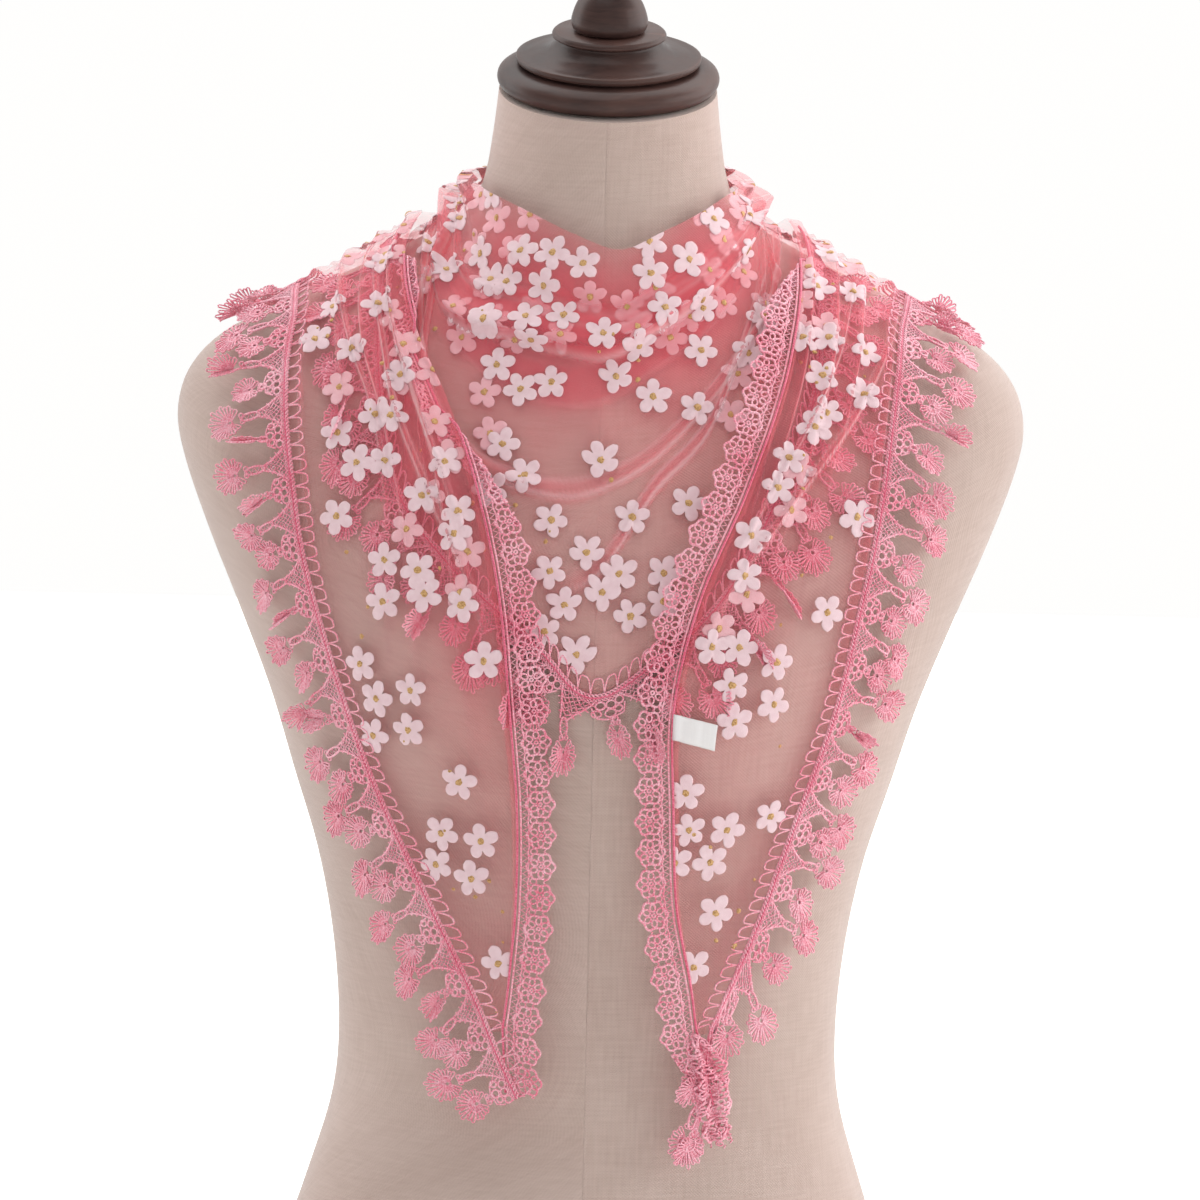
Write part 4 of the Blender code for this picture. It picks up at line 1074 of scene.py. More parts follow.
# %% Lace thread and seam thread
def thread_material(name, dark, light):
    """Mercerised thread: its twist, soft sheen, uneven dyeing, and painted glints and shade."""
    yarn = Finish(name, light, 0.38, Sheen_Weight=0.6, Sheen_Roughness=0.5,
                  Specular_IOR_Level=0.6, Sheen_Tint=(1.0, 0.75, 0.80, 1.0))
    strands = yarn.use(TWISTED_THREAD, yarn.place(), Turns=800.0)
    where = yarn.place("TexCoord")
    patches, painted_sparkle = yarn.mottle(where, 45.0, 0.0, 0.6), yarn.mottle(where, 900.0, -0.5, 0.5)
    # Colour follows the twist as painted shade, and the finest noise adds painted glints.
    shade = yarn.math("MULTIPLY_ADD", strands, 0.4, yarn.math("ADD", patches, painted_sparkle))
    yarn.paint(shade, dark, light)
    yarn.bump(strands, 0.00012, 0.8)
    return yarn.material


LACE_THREAD = thread_material("lace_thread", (0.88, 0.19, 0.29), (1.0, 0.54, 0.63))
SEAM_THREAD = thread_material("seam_thread", (0.66, 0.06, 0.14), (0.90, 0.19, 0.31))


# %% A piece of threads
class Gathered:
    """Many small shapes in one mesh."""

    def __init__(self):
        self.points, self.quads, self.uv, self.caps, self.count = [], [], [], [], 0

    def keep(self, points, quads, uv):
        """Add one shape's arrays. The quads count from the shapes before it."""
        self.points.append(points.reshape(-1, 3))
        self.quads.append(quads)
        self.uv.append(uv.reshape(-1, 2))
        self.count += points.size // 3

    def build(self, name, finish):
        """All the shapes as one object."""
        return new_piece(name, np.vstack(self.points), np.vstack(self.quads), finish,
                         np.vstack(self.uv), self.caps)


class Threads(Gathered):
    """Tubes gathered into one mesh."""

    def add(self, points, normals, radius, closed=False, sides=4):
        """Tubes along rows of points: an array of strokes x points x 3."""
        points, normals = np.asarray(points), np.asarray(normals)
        if closed:
            ahead = np.roll(points, -1, axis=1) - np.roll(points, 1, axis=1)
            points, normals, ahead = (np.concatenate([row, row[:, :1]], axis=1)
                                      for row in (points, normals, ahead))
        else:
            ahead = np.gradient(points, axis=1)
        ahead = unit(ahead, 1e-12)
        side = unit(np.cross(normals, ahead), 1e-12)
        up = np.cross(ahead, side)
        turn = (np.arange(sides) + 0.5) * 2 * pi / sides
        radius = np.broadcast_to(radius, points.shape[:2])[..., None, None]
        ring = (side[..., None, :] * np.cos(turn)[:, None]
                + up[..., None, :] * np.sin(turn)[:, None])
        strokes, length = points.shape[:2]
        shift = np.arange(strokes)[:, None, None] * length * sides + self.count
        quads = (grid_quads(length, sides, closed=True)[None] + shift).reshape(-1, 4)
        gone = np.cumsum(size_of(np.diff(points, axis=1, prepend=points[:, :1])), axis=1)
        uv = np.stack(np.broadcast_arrays(gone[..., None], np.arange(sides) / sides), -1)
        self.keep(points[..., None, :] + ring * radius, quads, uv)


# %% Strokes of a pattern
def circle(u, v, wide, high, steps, start=0.0):
    """Points of an ellipse in a pattern, in mm."""
    turn = start + np.arange(steps) * 2 * pi / steps
    return beside(u + wide * np.cos(turn), v + high * np.sin(turn))


def line(*corners, steps=1):
    """A polyline in a pattern, in mm, each side split into steps."""
    corners = np.array(corners, float)
    place = np.linspace(0, len(corners) - 1, (len(corners) - 1) * steps + 1)
    return beside(*(np.interp(place, np.arange(len(corners)), column)
                    for column in corners.T))


# %% [markdown]
# ## The narrow lace
# Each repeat is a six-petalled flower in a ring. A doubled cord and a row of small holes
# join the flowers to the net, and a little ring links each flower to the next. The pattern
# is drawn once, flat and in millimetres, and then laid at every repeat with small changes,
# because a machine's tension is never quite even.

# %% The narrow lace's pattern
NARROW_PITCH = 14.0
FLOWER_MIDDLE = 10.6          # mm out from the seam
FLOWER_RING, FLOWER_SCALLOP = 5.9, 0.62
PETALS = 6
PETAL_REACH, PETAL_LENGTH, PETAL_WIDTH = 3.4, 1.65, 1.25
FINE_CORD = 0.44


def narrow_strokes():
    """The strokes of one repeat, as (points in mm, radius, closed)."""
    strokes = []
    turn = np.arange(36) * 2 * pi / 36
    reach = FLOWER_RING + FLOWER_SCALLOP * np.cos(PETALS * turn)
    strokes.append((beside(reach * np.sin(turn), FLOWER_MIDDLE + reach * np.cos(turn)),
                    0.70, True))
    for petal in range(PETALS):
        angle = (petal + 0.5) * 2 * pi / PETALS
        away, aside = np.array([sin(angle), cos(angle)]), np.array([cos(angle), -sin(angle)])
        loop = circle(0, 0, PETAL_LENGTH, PETAL_WIDTH, 10)
        points = (PETAL_REACH + loop[:, :1]) * away + loop[:, 1:] * aside
        points = points + [0, FLOWER_MIDDLE]
        strokes.append((points, 0.56, True))
        outer = [0, FLOWER_MIDDLE] + away * (FLOWER_RING - FLOWER_SCALLOP)
        strokes.append((line(points[0], outer), FINE_CORD, False))
    strokes.append((circle(0, FLOWER_MIDDLE, 0.8, 0.8, 8), 0.55, True))
    half = NARROW_PITCH / 2
    strokes.append((circle(half, 7.4, 1.3, 1.5, 9), FINE_CORD, True))
    strokes.append((line((half - 1.5, 13.4), (half, 12.0), (half + 1.5, 13.4), steps=2),
                    FINE_CORD, False))
    strokes.append((line((half - 3.6, 6.8), (half - 1.8, 5.2)), FINE_CORD, False))
    strokes.append((line((half + 3.6, 6.8), (half + 1.8, 5.2)), FINE_CORD, False))
    return strokes


# %% Laying a pattern along a hem
def repeats(edge, pitch, first=0.0):
    """Where a pattern's repeats start along an edge, and how much each is stretched."""
    count = round(edge.length / (pitch * MM))
    real = edge.length / count
    return (np.arange(count) + first) * real, real / (pitch * MM)


def lay_strokes(threads, strokes, starts, stretch_to, patch, rng, swell=0.10):
    """Lay a repeat's strokes at each start along a patch, with small random changes."""
    for points, radius, closed in strokes:
        wobble = rng.normal(0, swell, (len(starts), 1, 2)) * MM
        u = starts[:, None] + points[None, :, 0] * stretch_to * MM + wobble[..., 0]
        v = points[None, :, 1] * MM + wobble[..., 1]
        height = rng.uniform(0.1, 0.5, (len(starts), 1)) * MM + 0 * u
        spots, normals = patch.at(u, v, height)
        thick = radius * rng.uniform(0.92, 1.1, (len(starts), 1)) * MM
        threads.add(spots, normals, thick, closed)


def long_cord(threads, patch, v, radius, height=0.35, sides=5, wave=None):
    """One cord along the whole hem. wave: its swing across, swing up, period and phase."""
    steps = int(patch.length / (0.9 * MM if wave else 1.8 * MM))
    u = np.linspace(0, patch.length, steps + 1)[None]
    v, up = np.full_like(u, v * MM), np.full_like(u, height * MM)
    if wave:
        across, rise, period, phase = wave
        turn = u / (period * MM) * 2 * pi + phase
        v = v + across * MM * np.sin(turn)
        up = up + rise * MM * np.cos(turn)
    points, normals = patch.at(u, v, up)
    threads.add(points, normals, radius * MM, sides=sides)


def net_row(threads, patch, low, high, tooth):
    """A zigzag of thread along the whole hem, between two depths."""
    teeth = round(patch.length / (tooth * MM))
    u = np.linspace(0, patch.length, teeth * 2 + 1)[None]
    v = np.where(np.arange(teeth * 2 + 1) % 2, high, low)[None] * MM
    points, normals = patch.at(u, v, 0.3 * MM + 0 * u)
    threads.add(points, normals, FINE_CORD * MM)


# %% Lace folded back under the cloth
class FoldedPatch(Patch):
    """A patch whose outer part is folded back under the cloth along part of its hem."""

    def __init__(self, edge, low, high, shown):
        super().__init__(edge, low, high)
        self.shown = np.array(shown)

    def at(self, u, v, height):
        """Points and normals: what lies beyond the fold goes back under the net."""
        fold = np.interp(u / self.length, self.shown[:, 0], self.shown[:, 1]) * MM
        over = np.maximum(v - fold, 0)
        sunk = FOLD_DEPTH * np.clip(over / FOLD_TURN, 0, 1)
        return super().at(u, np.minimum(v, fold) - over * FOLD_BACK, height - sunk)


# Shares of the hem's length, and the width of lace that shows there, in mm
SHOWN = {"left": [(0, -5.0), (0.08, -5.0), (0.10, 5.4), (0.15, 5.4), (0.21, -3.0),
                  (0.29, -3.0), (0.37, 7.0), (0.45, 18.0)],
         "right": [(0, -3.0), (0.07, -3.0), (0.12, 8.0), (0.17, 18.0), (0.92, 18.0),
                   (0.97, 9.0), (1.0, 8.0)]}
FOLD_DEPTH, FOLD_TURN, FOLD_BACK = 2.2 * MM, 2.0 * MM, 0.8


# %% The cord over a seam
def build_seam(name, patch, v, radius):
    """The darker cord that covers the stitches between lace and net."""
    threads = Threads()
    long_cord(threads, patch, v, radius, 0.9)
    return finish_piece(threads.build(name, SEAM_THREAD))


# %% [markdown]
# ## The gathered tip
# The right end's tip is a bunch of lace, drawn together and left hanging. A solid lump would
# let no light between its threads. So two strips of the same pattern are squeezed to the
# bunch's width and laid in pleats, one over the other.

# %% The knot's shape
# Widths, in mm, down its length
KNOT_WIDTHS = (5, 19, 29, 23, 26, 17)
KNOT_REPEATS, KNOT_PLEATS = 5, 2.3
KNOT_PLEAT_RISE = 1.7 * MM
KNOT_SWAY = 3.0 * MM
KNOT_START = -1.0 * MM        # where it begins, from the end of the net
KNOT_LENGTH = 1.45            # as a share of the lace beyond the tip
KNOT_PHASES = (0.0, 2.2)      # of the pleats in its two strips


class Gather:
    """Places over the lace that hangs past a tip: u down it, v across it, in pleats."""

    def __init__(self, edge, phase):
        self.edge, self.phase = edge, phase
        self.length = edge.hem.beyond * KNOT_LENGTH

    def at(self, u, v, height):
        """Points and normals on the pleated strip."""
        share = u / self.length
        step = np.linspace(0, 1, len(KNOT_WIDTHS))
        wide = np.interp(share, step, KNOT_WIDTHS) / (2 * FLOWER_MIDDLE)
        aside = (v - FLOWER_MIDDLE * MM) * wide
        aside = aside + KNOT_SWAY * np.sin(share * 2 * pi * 1.3 + self.phase)
        along = self.edge.net_length + share * self.length - KNOT_START
        past = np.maximum(along - self.edge.length, 0)
        spots, normals = self.edge.place(along, 0.0, aside, past)
        pleat = np.sin(v / (2 * FLOWER_MIDDLE * MM) * 2 * pi * KNOT_PLEATS + self.phase
                       + share * 4)
        rise = (1.0 + pleat) * KNOT_PLEAT_RISE
        return spots + normals * (height + rise)[..., None], normals


def gather_tip(threads, edge, rng):
    """Two pleated strips of the narrow lace's repeat, one over the other."""
    for phase in KNOT_PHASES:
        knot = Gather(edge, phase)
        starts = (np.arange(KNOT_REPEATS) + 0.5) * knot.length / KNOT_REPEATS
        tight = knot.length / KNOT_REPEATS / (NARROW_PITCH * MM)
        lay_strokes(threads, narrow_strokes(), starts, tight, knot, rng, 0.5)


# %% Both narrow laces
def build_narrow_lace(side, seed):
    """The narrow lace along the inner edge of one end, and the cord over its seam."""
    edge = Edge(ENDS[side], INNER_HEMS[side])
    patch = FoldedPatch(edge, -15.0 * MM, 17.5 * MM, SHOWN[side])
    rng = np.random.default_rng(seed)
    threads = Threads()
    long_cord(threads, patch, 1.7, 0.55, 0.5)
    long_cord(threads, patch, 5.1, 0.45, wave=(0.25, 0.1, 7.0, 0.4))
    net_row(threads, patch, 2.4, 4.9, NARROW_PITCH / 5)
    lay_strokes(threads, narrow_strokes(), *repeats(edge, NARROW_PITCH, 0.5), patch, rng)
    if side == "right":
        gather_tip(threads, edge, rng)
    made = threads.build("narrow_lace_" + side, LACE_THREAD)
    return [finish_piece(made, ["scallop_lace_" + side]),
            build_seam("seam_narrow_" + side, patch, 0.1, 0.62)]


NARROW_LACES = {"left": build_narrow_lace("left", 11),
                "right": build_narrow_lace("right", 12)}

# %% [markdown]
# ## The wide lace
# Each repeat is a web of close net that narrows to a stem with a long leaf, then a swag of
# rings with a short leaf. A braided header joins them, and a ladder of loops lies over the
# edge of the net. The leaves are fans of looped thread. They hang from thin stems, so each
# one swings, curls and twists its own way.

# %% The wide lace's pattern
WIDE_PITCH = 25.5
WEB_WIDTH, WEB_DEPTH = 15.0, 14.5
WEB_ROWS, WEB_TOOTH = 4, 2.3  # rows of net in a web, and half the width of one tooth
HEADER = 2.9                  # mm from the seam to where the webs and rings start
LADDER_CELLS, LADDER_REACH = 4, 7.6
Pendant = namedtuple("Pendant", "middle depth stem length width fingers")
LONG_LEAF = Pendant(7.5, 14.0, 9.0, 17.6, 16.0, 19)
SHORT_LEAF = Pendant(20.25, 10.8, 3.0, 15.6, 15.0, 18)
RINGS = [(16.9, 4.9, 1.75), (20.5, 5.2, 1.8), (24.0, 4.8, 1.7), (19.4, 8.9, 1.75),
         (22.6, 8.4, 1.4), (15.2, 8.3, 1.45)]         # u, v and radius in mm


def wide_strokes():
    """The strokes of one repeat's ladder, web and rings."""
    strokes = []
    cell = WIDE_PITCH / LADDER_CELLS
    turn = np.linspace(-1, 1, 9)
    for place in range(LADDER_CELLS):
        middle = (place + 0.5) * cell
        arc_u = middle + np.sign(turn) * np.abs(turn) ** 0.7 * cell / 2
        arc_v = -0.4 - (LADDER_REACH - 0.4) * (1 - np.abs(turn) ** 3.0)
        strokes.append((beside(arc_u, arc_v), FINE_CORD, False))
    half = WEB_WIDTH / 2
    shape = (HEADER, 6.8, 10.5, WEB_DEPTH), (half, 4.4, 2.2, 0.9)
    for side in (-1, 1):
        corners = [(half + side * wide, deep) for deep, wide in zip(*shape)]
        strokes.append((line(*corners, steps=2), 0.62, False))
    rows = np.linspace(HEADER, WEB_DEPTH - 2.0, WEB_ROWS + 1)
    for low, high in zip(rows, rows[1:]):
        low_half, high_half = np.interp((low, high), *shape)
        teeth = max(round(low_half / WEB_TOOTH), 1)
        zigzag = []
        for tooth in range(teeth * 2 + 1):
            share = tooth / teeth - 1
            zigzag.append((half + share * (high_half if tooth % 2 else low_half),
                           high if tooth % 2 else low))
        strokes.append((np.array(zigzag), 0.42, False))
        strokes.append((np.array(zigzag) * [1, -1] + [0, low + high], 0.38, False))
    for u, v, size in RINGS:
        strokes.append((circle(u, v, size, size, 10), 0.60, True))
    strokes.append((line((13.6, 5.6), (15.4, 10.4), (18.6, 11.4), (20.3, 10.9), steps=3),
                    0.5, False))
    strokes.append((line((20.3, 10.9), (23.6, 10.6), (25.6, 6.8), steps=3), 0.5, False))
    return strokes


# %% A leaf on its stem
BAR_STEP = 1.4                # mm between the bars of a stem
LEAF_HEART = 0.34             # where the fingers start, as a share of the leaf's length
LEAF_CENTRE = 0.13            # how far below that the leaf's own middle is
FINGER_FAN = 140              # degrees each way from straight down
FINGER_ENDS = (1.03, 0.93)    # every second finger is shorter


def leaf_strokes(leaf):
    """The strokes of a stem and its leaf: distance down, and aside, in mm."""
    half_stem = leaf.stem / 2
    wide = 1.2 + leaf.stem * 0.05
    strokes = [(circle(half_stem, 0, half_stem + 0.5, wide, 16), 0.62, True)]
    bars = int(leaf.stem / BAR_STEP) + 1
    step = np.arange(bars)
    strokes.append((beside(step * leaf.stem / (bars - 1),
                           np.where(step % 2, -wide, wide) * 0.8), 0.42, False))
    strokes.append((circle(leaf.stem - 0.4, 1.5, 1.1, 1.1, 8), FINE_CORD, True))
    strokes.append((circle(leaf.stem - 0.4, -1.5, 1.1, 1.1, 8), FINE_CORD, True))
    origin = leaf.stem + leaf.length * LEAF_HEART
    centre = leaf.length * LEAF_CENTRE
    long_half, wide_half = leaf.length / 2, leaf.width / 2
    fan = np.radians(np.linspace(-FINGER_FAN, FINGER_FAN, leaf.fingers))
    for finger, angle in enumerate(fan):
        a = (cos(angle) / long_half) ** 2 + (sin(angle) / wide_half) ** 2
        b = -2 * centre * cos(angle) / long_half ** 2
        c = (centre / long_half) ** 2 - 1
        reach = (-b + (b * b - 4 * a * c) ** 0.5) / (2 * a) * FINGER_ENDS[finger % 2]
        along = np.array([0.8, reach * 0.5, reach * 0.8, reach * 0.96, reach,
                          reach * 0.96, reach * 0.8, reach * 0.5, 0.8])
        aside = np.array([-0.1, -0.5, -0.72, -0.66, 0, 0.66, 0.72, 0.5, 0.1])
        points = beside(origin + along * cos(angle) - aside * sin(angle),
                        along * sin(angle) + aside * cos(angle))
        strokes.append((points, 0.42, False))
    strokes.append((circle(origin, 0, 1.4, 1.3, 9), 0.55, True))
    tie = np.radians(np.linspace(-130, 130, 12))
    strokes.append((beside(origin + wide_half * 0.5 * np.cos(tie),
                           wide_half * 0.5 * np.sin(tie)), 0.5, False))
    return strokes


# %% Hanging the leaves
LEAF_DOWN, LEAF_ACROSS = 9, 5     # places down and across each pendant's own patch
SWING, MOST_SWING = 0.16, 0.35    # radians, its spread and the most of it
TURNED_OVER = 0.22                # share of the leaves that hang nearly edge-on
BEND = (1.6, 2.6)                 # mean and spread of a pendant's sideways bend, in mm


def lay_leaves(threads, leaf, edge, starts, stretch_to, rng):
    """Hang one leaf from every repeat, each with its own swing, curl and twist."""
    count = len(starts)
    down = np.linspace(-0.5, leaf.stem + leaf.length * 1.1, LEAF_DOWN) * MM
    across = np.linspace(-leaf.width * 0.7, leaf.width * 0.7, LEAF_ACROSS) * MM
    swing = np.clip(rng.normal(0, SWING, count), -MOST_SWING, MOST_SWING)
    twist = np.where(rng.random(count) < TURNED_OVER, rng.uniform(0.8, 1.35, count),
                     rng.uniform(0.0, 0.45, count)) * rng.choice([-1, 1], count)
    curl = rng.uniform(0.0, 3.5, count)
    size = rng.uniform(0.9, 1.06, count)
    middle = starts + leaf.middle * stretch_to * MM
    bend = rng.normal(*BEND, count)[:, None, None] * MM
    fallen = down[None, :, None] * np.cos(swing)[:, None, None]
    fallen = fallen - across[None, None] * np.sin(swing)[:, None, None]
    aside = down[None, :, None] * np.sin(swing)[:, None, None]
    aside = aside + across[None, None] * np.cos(swing)[:, None, None]
    aside = aside + bend * (down / down[-1])[None, :, None] ** 2
    spots, normals = edge.place(middle[:, None, None], leaf.depth * MM, fallen, aside)
    pick = np.arange(count)[:, None]
    for points, radius, closed in leaf_strokes(leaf):
        far = points[None, :, 0] * size[:, None]
        turned = np.clip(far / leaf.stem, 0, 1) * twist[:, None]
        wide = points[None, :, 1] * size[:, None]
        i = (far * MM - down[0]) / (down[-1] - down[0]) * (LEAF_DOWN - 1)
        j = (wide * np.cos(turned) * MM - across[0]) / (across[-1] - across[0])
        j = j * (LEAF_ACROSS - 1)
        share = np.clip(far / (leaf.stem + leaf.length), 0, 1.1)
        jitter = rng.uniform(-0.35, 0.35, (count, 1))
        height = curl[:, None] * share ** 2 + np.abs(wide * np.sin(turned)) * 0.9 + 0.4
        height = (height + wide * np.sin(turned) * 0.45 + jitter) * MM
        i = np.clip(i, 0, LEAF_DOWN - 1.001)
        j = np.clip(j, 0, LEAF_ACROSS - 1.001)
        laid, upward = (sample_grid(grid, i, j, pick) for grid in (spots, normals))
        threads.add(laid + upward * height[..., None], upward, radius * MM, closed)


# %% Every wide lace
def build_wide_lace(place, stretch, hem, seed):
    """The wide lace along one hem, and the cord over its seam."""
    edge = Edge(stretch, hem)
    patch = Patch(edge, -8.0 * MM, 17.5 * MM)
    rng = np.random.default_rng(seed)
    threads = Threads()
    for phase in (0.0, pi):
        long_cord(threads, patch, 0.3, 0.5, 0.6, 4, wave=(0.85, 0.4, 3.6, phase))
        long_cord(threads, patch, 2.4, 0.44, 0.4, 4, wave=(0.75, 0.3, 3.0, phase))
    starts, stretch_to = repeats(edge, WIDE_PITCH)
    lay_strokes(threads, wide_strokes(), starts, stretch_to, patch, rng)
    for leaf in (LONG_LEAF, SHORT_LEAF):
        lay_leaves(threads, leaf, edge, starts, stretch_to, rng)
    made = threads.build("wide_lace_" + place, LACE_THREAD)
    return [finish_piece(made, ["leaf_lace_" + place]),
            build_seam("seam_wide_" + place, patch, 1.3, 0.42)]


WIDE_LACES = {"front": build_wide_lace("front", FRONT, FRONT_HEM, 21)}
for number, (side, other) in enumerate((("left", "right"), ("right", "left"))):
    WIDE_LACES["end_" + side] = build_wide_lace("end_" + side, ENDS[side], END_HEMS[side],
                                                31 + number)
    WIDE_LACES["wrap_" + other] = build_wide_lace("back_" + side, WRAPS[other],
                                                  BACK_HEMS[side], 41 + number)

# %% [markdown]
# ## Daisies
# White flock is printed on the net in five-petalled daisies, in loose groups. The net's own
# material could paint them, but flock is thick and stands proud with a crisp edge, so a
# daisy is a thin domed patch. It is placed by its distance along and across the net, so it
# bends over each crease with the cloth. Its centre is a bead of gold glue, and smaller gold
# dots are sprinkled between the groups.

# %% Flock and gold
def flock_material():
    """White flock: a dense soft pile."""
    flock = Finish("white_flock", (0.86, 0.75, 0.79), 0.85, Sheen_Weight=0.25,
                   Sheen_Roughness=0.5)
    place = flock.place()
    pile = flock.add("TexNoise", {"Vector": place, "Scale": 2600.0, "Detail": 3.0})
    patches = flock.mottle(place, 260.0, 0.0, 1.0)
    flock.paint(patches, (0.80, 0.565, 0.605), (0.87, 0.655, 0.695))
    flock.bump(pile.outputs[0], 0.0002, 0.8)
    return flock.material


def gold_material():
    """Dull gold glitter set in glue, with painted glints on its flakes."""
    gold = Finish("gold_glitter", (0.62, 0.42, 0.13), 0.45, Metallic=0.2)
    flakes = gold.add("TexVoronoi", {"Vector": gold.place("TexCoord"),
                                     "Scale": 2200.0}).outputs
    # painted glints: each flake gets its own brightness, as if it caught the light
    spark = gold.add("SeparateColor", {0: flakes["Color"]}).outputs[0]
    gold.paint(spark, (0.38, 0.19, 0.06), (0.74, 0.46, 0.20))
    gold.feed(gold.math("MULTIPLY_ADD", spark, 0.35, 0.25), gold.shader["Roughness"])
    gold.bump(flakes["Distance"], 0.00003, 0.4)
    return gold.material


FLOCK, GOLD = flock_material(), gold_material()

# %% The daisy's outline
DAISY_ANGLES = 50
DAISY_RINGS = [(0.30, 0.16), (0.60, 0.20), (0.88, 0.18), (0.98, 0.10), (1.0, -0.05)]
PETAL_CENTRE, PETAL_RADIAL, PETAL_HALF = 5.15, 3.3, 2.9        # mm
NOTCH = 2.1                   # mm from the middle to the gap between two petals
GOLD_RADIUS = 1.6


def daisy_reach(angle):
    """How far the daisy's outline is from its middle, in mm."""
    fifth = 2 * pi / 5
    off = np.abs((angle + fifth / 2) % fifth - fifth / 2)
    a = (np.cos(off) / PETAL_RADIAL) ** 2 + (np.sin(off) / PETAL_HALF) ** 2
    b = -2 * PETAL_CENTRE * np.cos(off) / PETAL_RADIAL ** 2
    c = (PETAL_CENTRE / PETAL_RADIAL) ** 2 - 1
    inside = b * b - 4 * a * c
    return np.where(inside > 0, (-b + np.sqrt(np.maximum(inside, 0))) / (2 * a), NOTCH)


print("a daisy is", 2 * daisy_reach(0.0).round(1), "mm across its petals")

# %% Groups of daisies
# Places of a group's daisies from its middle, in mm over the net: to the right, and up
GROUPS = {
    "one": [(0, 0)],
    "pair": [(-8, 2), (9, -2)],
    "post": [(1, 9), (-2, -9)],
    "row": [(-15, 2), (0, 1), (14, -3)],
    "three": [(-9, 6), (8, 3), (1, -12)],
    "arc": [(-9, 7), (7, 6), (-1, -8), (16, -7), (-19, -9)],
    "four": [(-10, 8), (8, 10), (-8, -8), (9, -9)],
    "bend": [(-11, 3), (-2, -10), (11, -8), (6, 12)],
    "five": [(-12, 14), (-5, -1), (11, 5), (10, -12), (-6, -16)],
    "six": [(-15, 14), (-3, 13), (14, 7), (-6, -3), (13, -12), (-4, -20)],
}
PRINTED = 0.2                 # mm: how far a daisy stands off the net
UNDER = -0.5                  # mm: printed on the layer below, so seen through the net
# On each stretch: x and z of the group's middle in mm, the group, its turn in degrees, and
# its height off the net where it isn't PRINTED
Group = namedtuple("Group", "x z group turn lift", defaults=(PRINTED,))
GROUPS_PLACED = {
    "front": [
        (-23, 660, "row", 0), (-34, 641, "arc", 0), (-35, 610, "bend", 10),
        (8, 619, "three", -10), (23, 598, "one", 0), (33, 648, "four", 15), (45, 629, "post", 10),
        (43, 594, "one", 0), (60, 676, "three", 20), (70, 627, "post", -15),
        (-68, 664, "four", 30), (-58, 690, "pair", 30), (-52, 640, "post", 0),
        (20, 668, "one", 0), (-41, 566, "three", -40), (1, 570, "one", 0), (-21, 543, "one", 0),
        (-9, 517, "four", 20), (20, 512, "bend", 80), (-16, 490, "pair", -20),
        (15, 545, "one", 0), (40, 552, "one", 0), (-48, 668, "arc", 60, UNDER),
        (-30, 628, "three", 70, UNDER), (26, 634, "bend", 40, UNDER),
        (56, 652, "arc", 120, UNDER), (-63, 640, "five", 20, UNDER), (64, 690, "arc", 0, UNDER),
        (-58, 700, "three", 0, UNDER), (2, 640, "pair", 0, UNDER), (-50, 590, "post", 20, UNDER),
        (60, 600, "post", 0, UNDER),
    ],
    "end_left": [
        (-101, 647, "post", 10), (-122, 623, "three", 180), (-91, 597, "post", 0),
        (-106, 576, "bend", 0), (-70, 555, "three", 170), (-63, 536, "one", 0),
        (-116, 543, "one", 0), (-90, 516, "three", 100), (-68, 508, "pair", 0),
        (-49, 482, "one", 0), (-92, 462, "five", 0), (-59, 426, "one", 0),
        (-59, 393, "four", -15), (-40, 345, "one", 0), (-100, 668, "arc", 0, UNDER),
        (-84, 620, "five", 0, UNDER), (-70, 578, "post", 30, UNDER), (-58, 520, "post", 0, UNDER),
        (-118, 600, "one", 0, UNDER), (-80, 545, "pair", 70, UNDER),
    ],
    "end_right": [
        (112, 668, "arc", 0, UNDER), (90, 640, "bend", 0, UNDER), (88, 560, "post", 0, UNDER),
        (60, 505, "pair", 60, UNDER), (105, 653, "three", 180), (105, 613, "six", 0),
        (90, 579, "post", -30), (79, 560, "one", 0), (67, 531, "post", 0), (115, 548, "one", 0),
        (102, 504, "one", 0), (66, 476, "six", 0), (48, 407, "five", -20), (80, 412, "one", 0),
        (56, 369, "one", 0), (47, 346, "one", 0),
    ],
}
print("groups placed:", sum(len(rows) for rows in GROUPS_PLACED.values()))

# %% The wraps' daisies and the gold dots
WRAP_DAISY_PITCH = 0.024      # metres between daisies on the wraps
WRAP_DAISIES = 0.8            # share of those places that have one
GOLD_DOTS = {"front": 26, "end_left": 22, "end_right": 22, "wrap_left": 8, "wrap_right": 12}
STRETCHES = {"front": FRONT, "end_left": ENDS["left"], "end_right": ENDS["right"],
             "wrap_left": WRAPS["left"], "wrap_right": WRAPS["right"]}


# %% Small distances on cloth
FLOWER_REACH = 5 * MM         # the cloth's directions are taken over this far each way


def slope(place, middle, reach):
    """How fast a place moves, by one share, from both sides of a middle."""
    low, high = max(middle - reach, 0), min(middle + reach, 1)
    return (place(high) - place(low)) / (high - low)


def on_cloth(stretch, run, share, along, across, out):
    """Points at small distances, in metres, from one place on a stretch: along its run,
    and at right angles to that, whatever angle the stretch's own rows and columns make."""
    i = np.argmin(np.abs(stretch.runs - run))
    j = np.argmin(np.abs(stretch.shares - share))
    by_run = slope(lambda place: stretch.at(place, share)[0], run,
                   FLOWER_REACH / stretch.step_run[i, j])
    by_share = slope(lambda place: stretch.at(run, place)[0], share,
                     FLOWER_REACH / stretch.step_share[i, j])
    first = unit(by_run)
    square = by_share - first * (by_share @ first)
    share_off = across / size_of(square)
    run_off = (along - share_off * (by_share @ first)) / size_of(by_run)
    return stretch.at(run + run_off, share + share_off, out)[0]


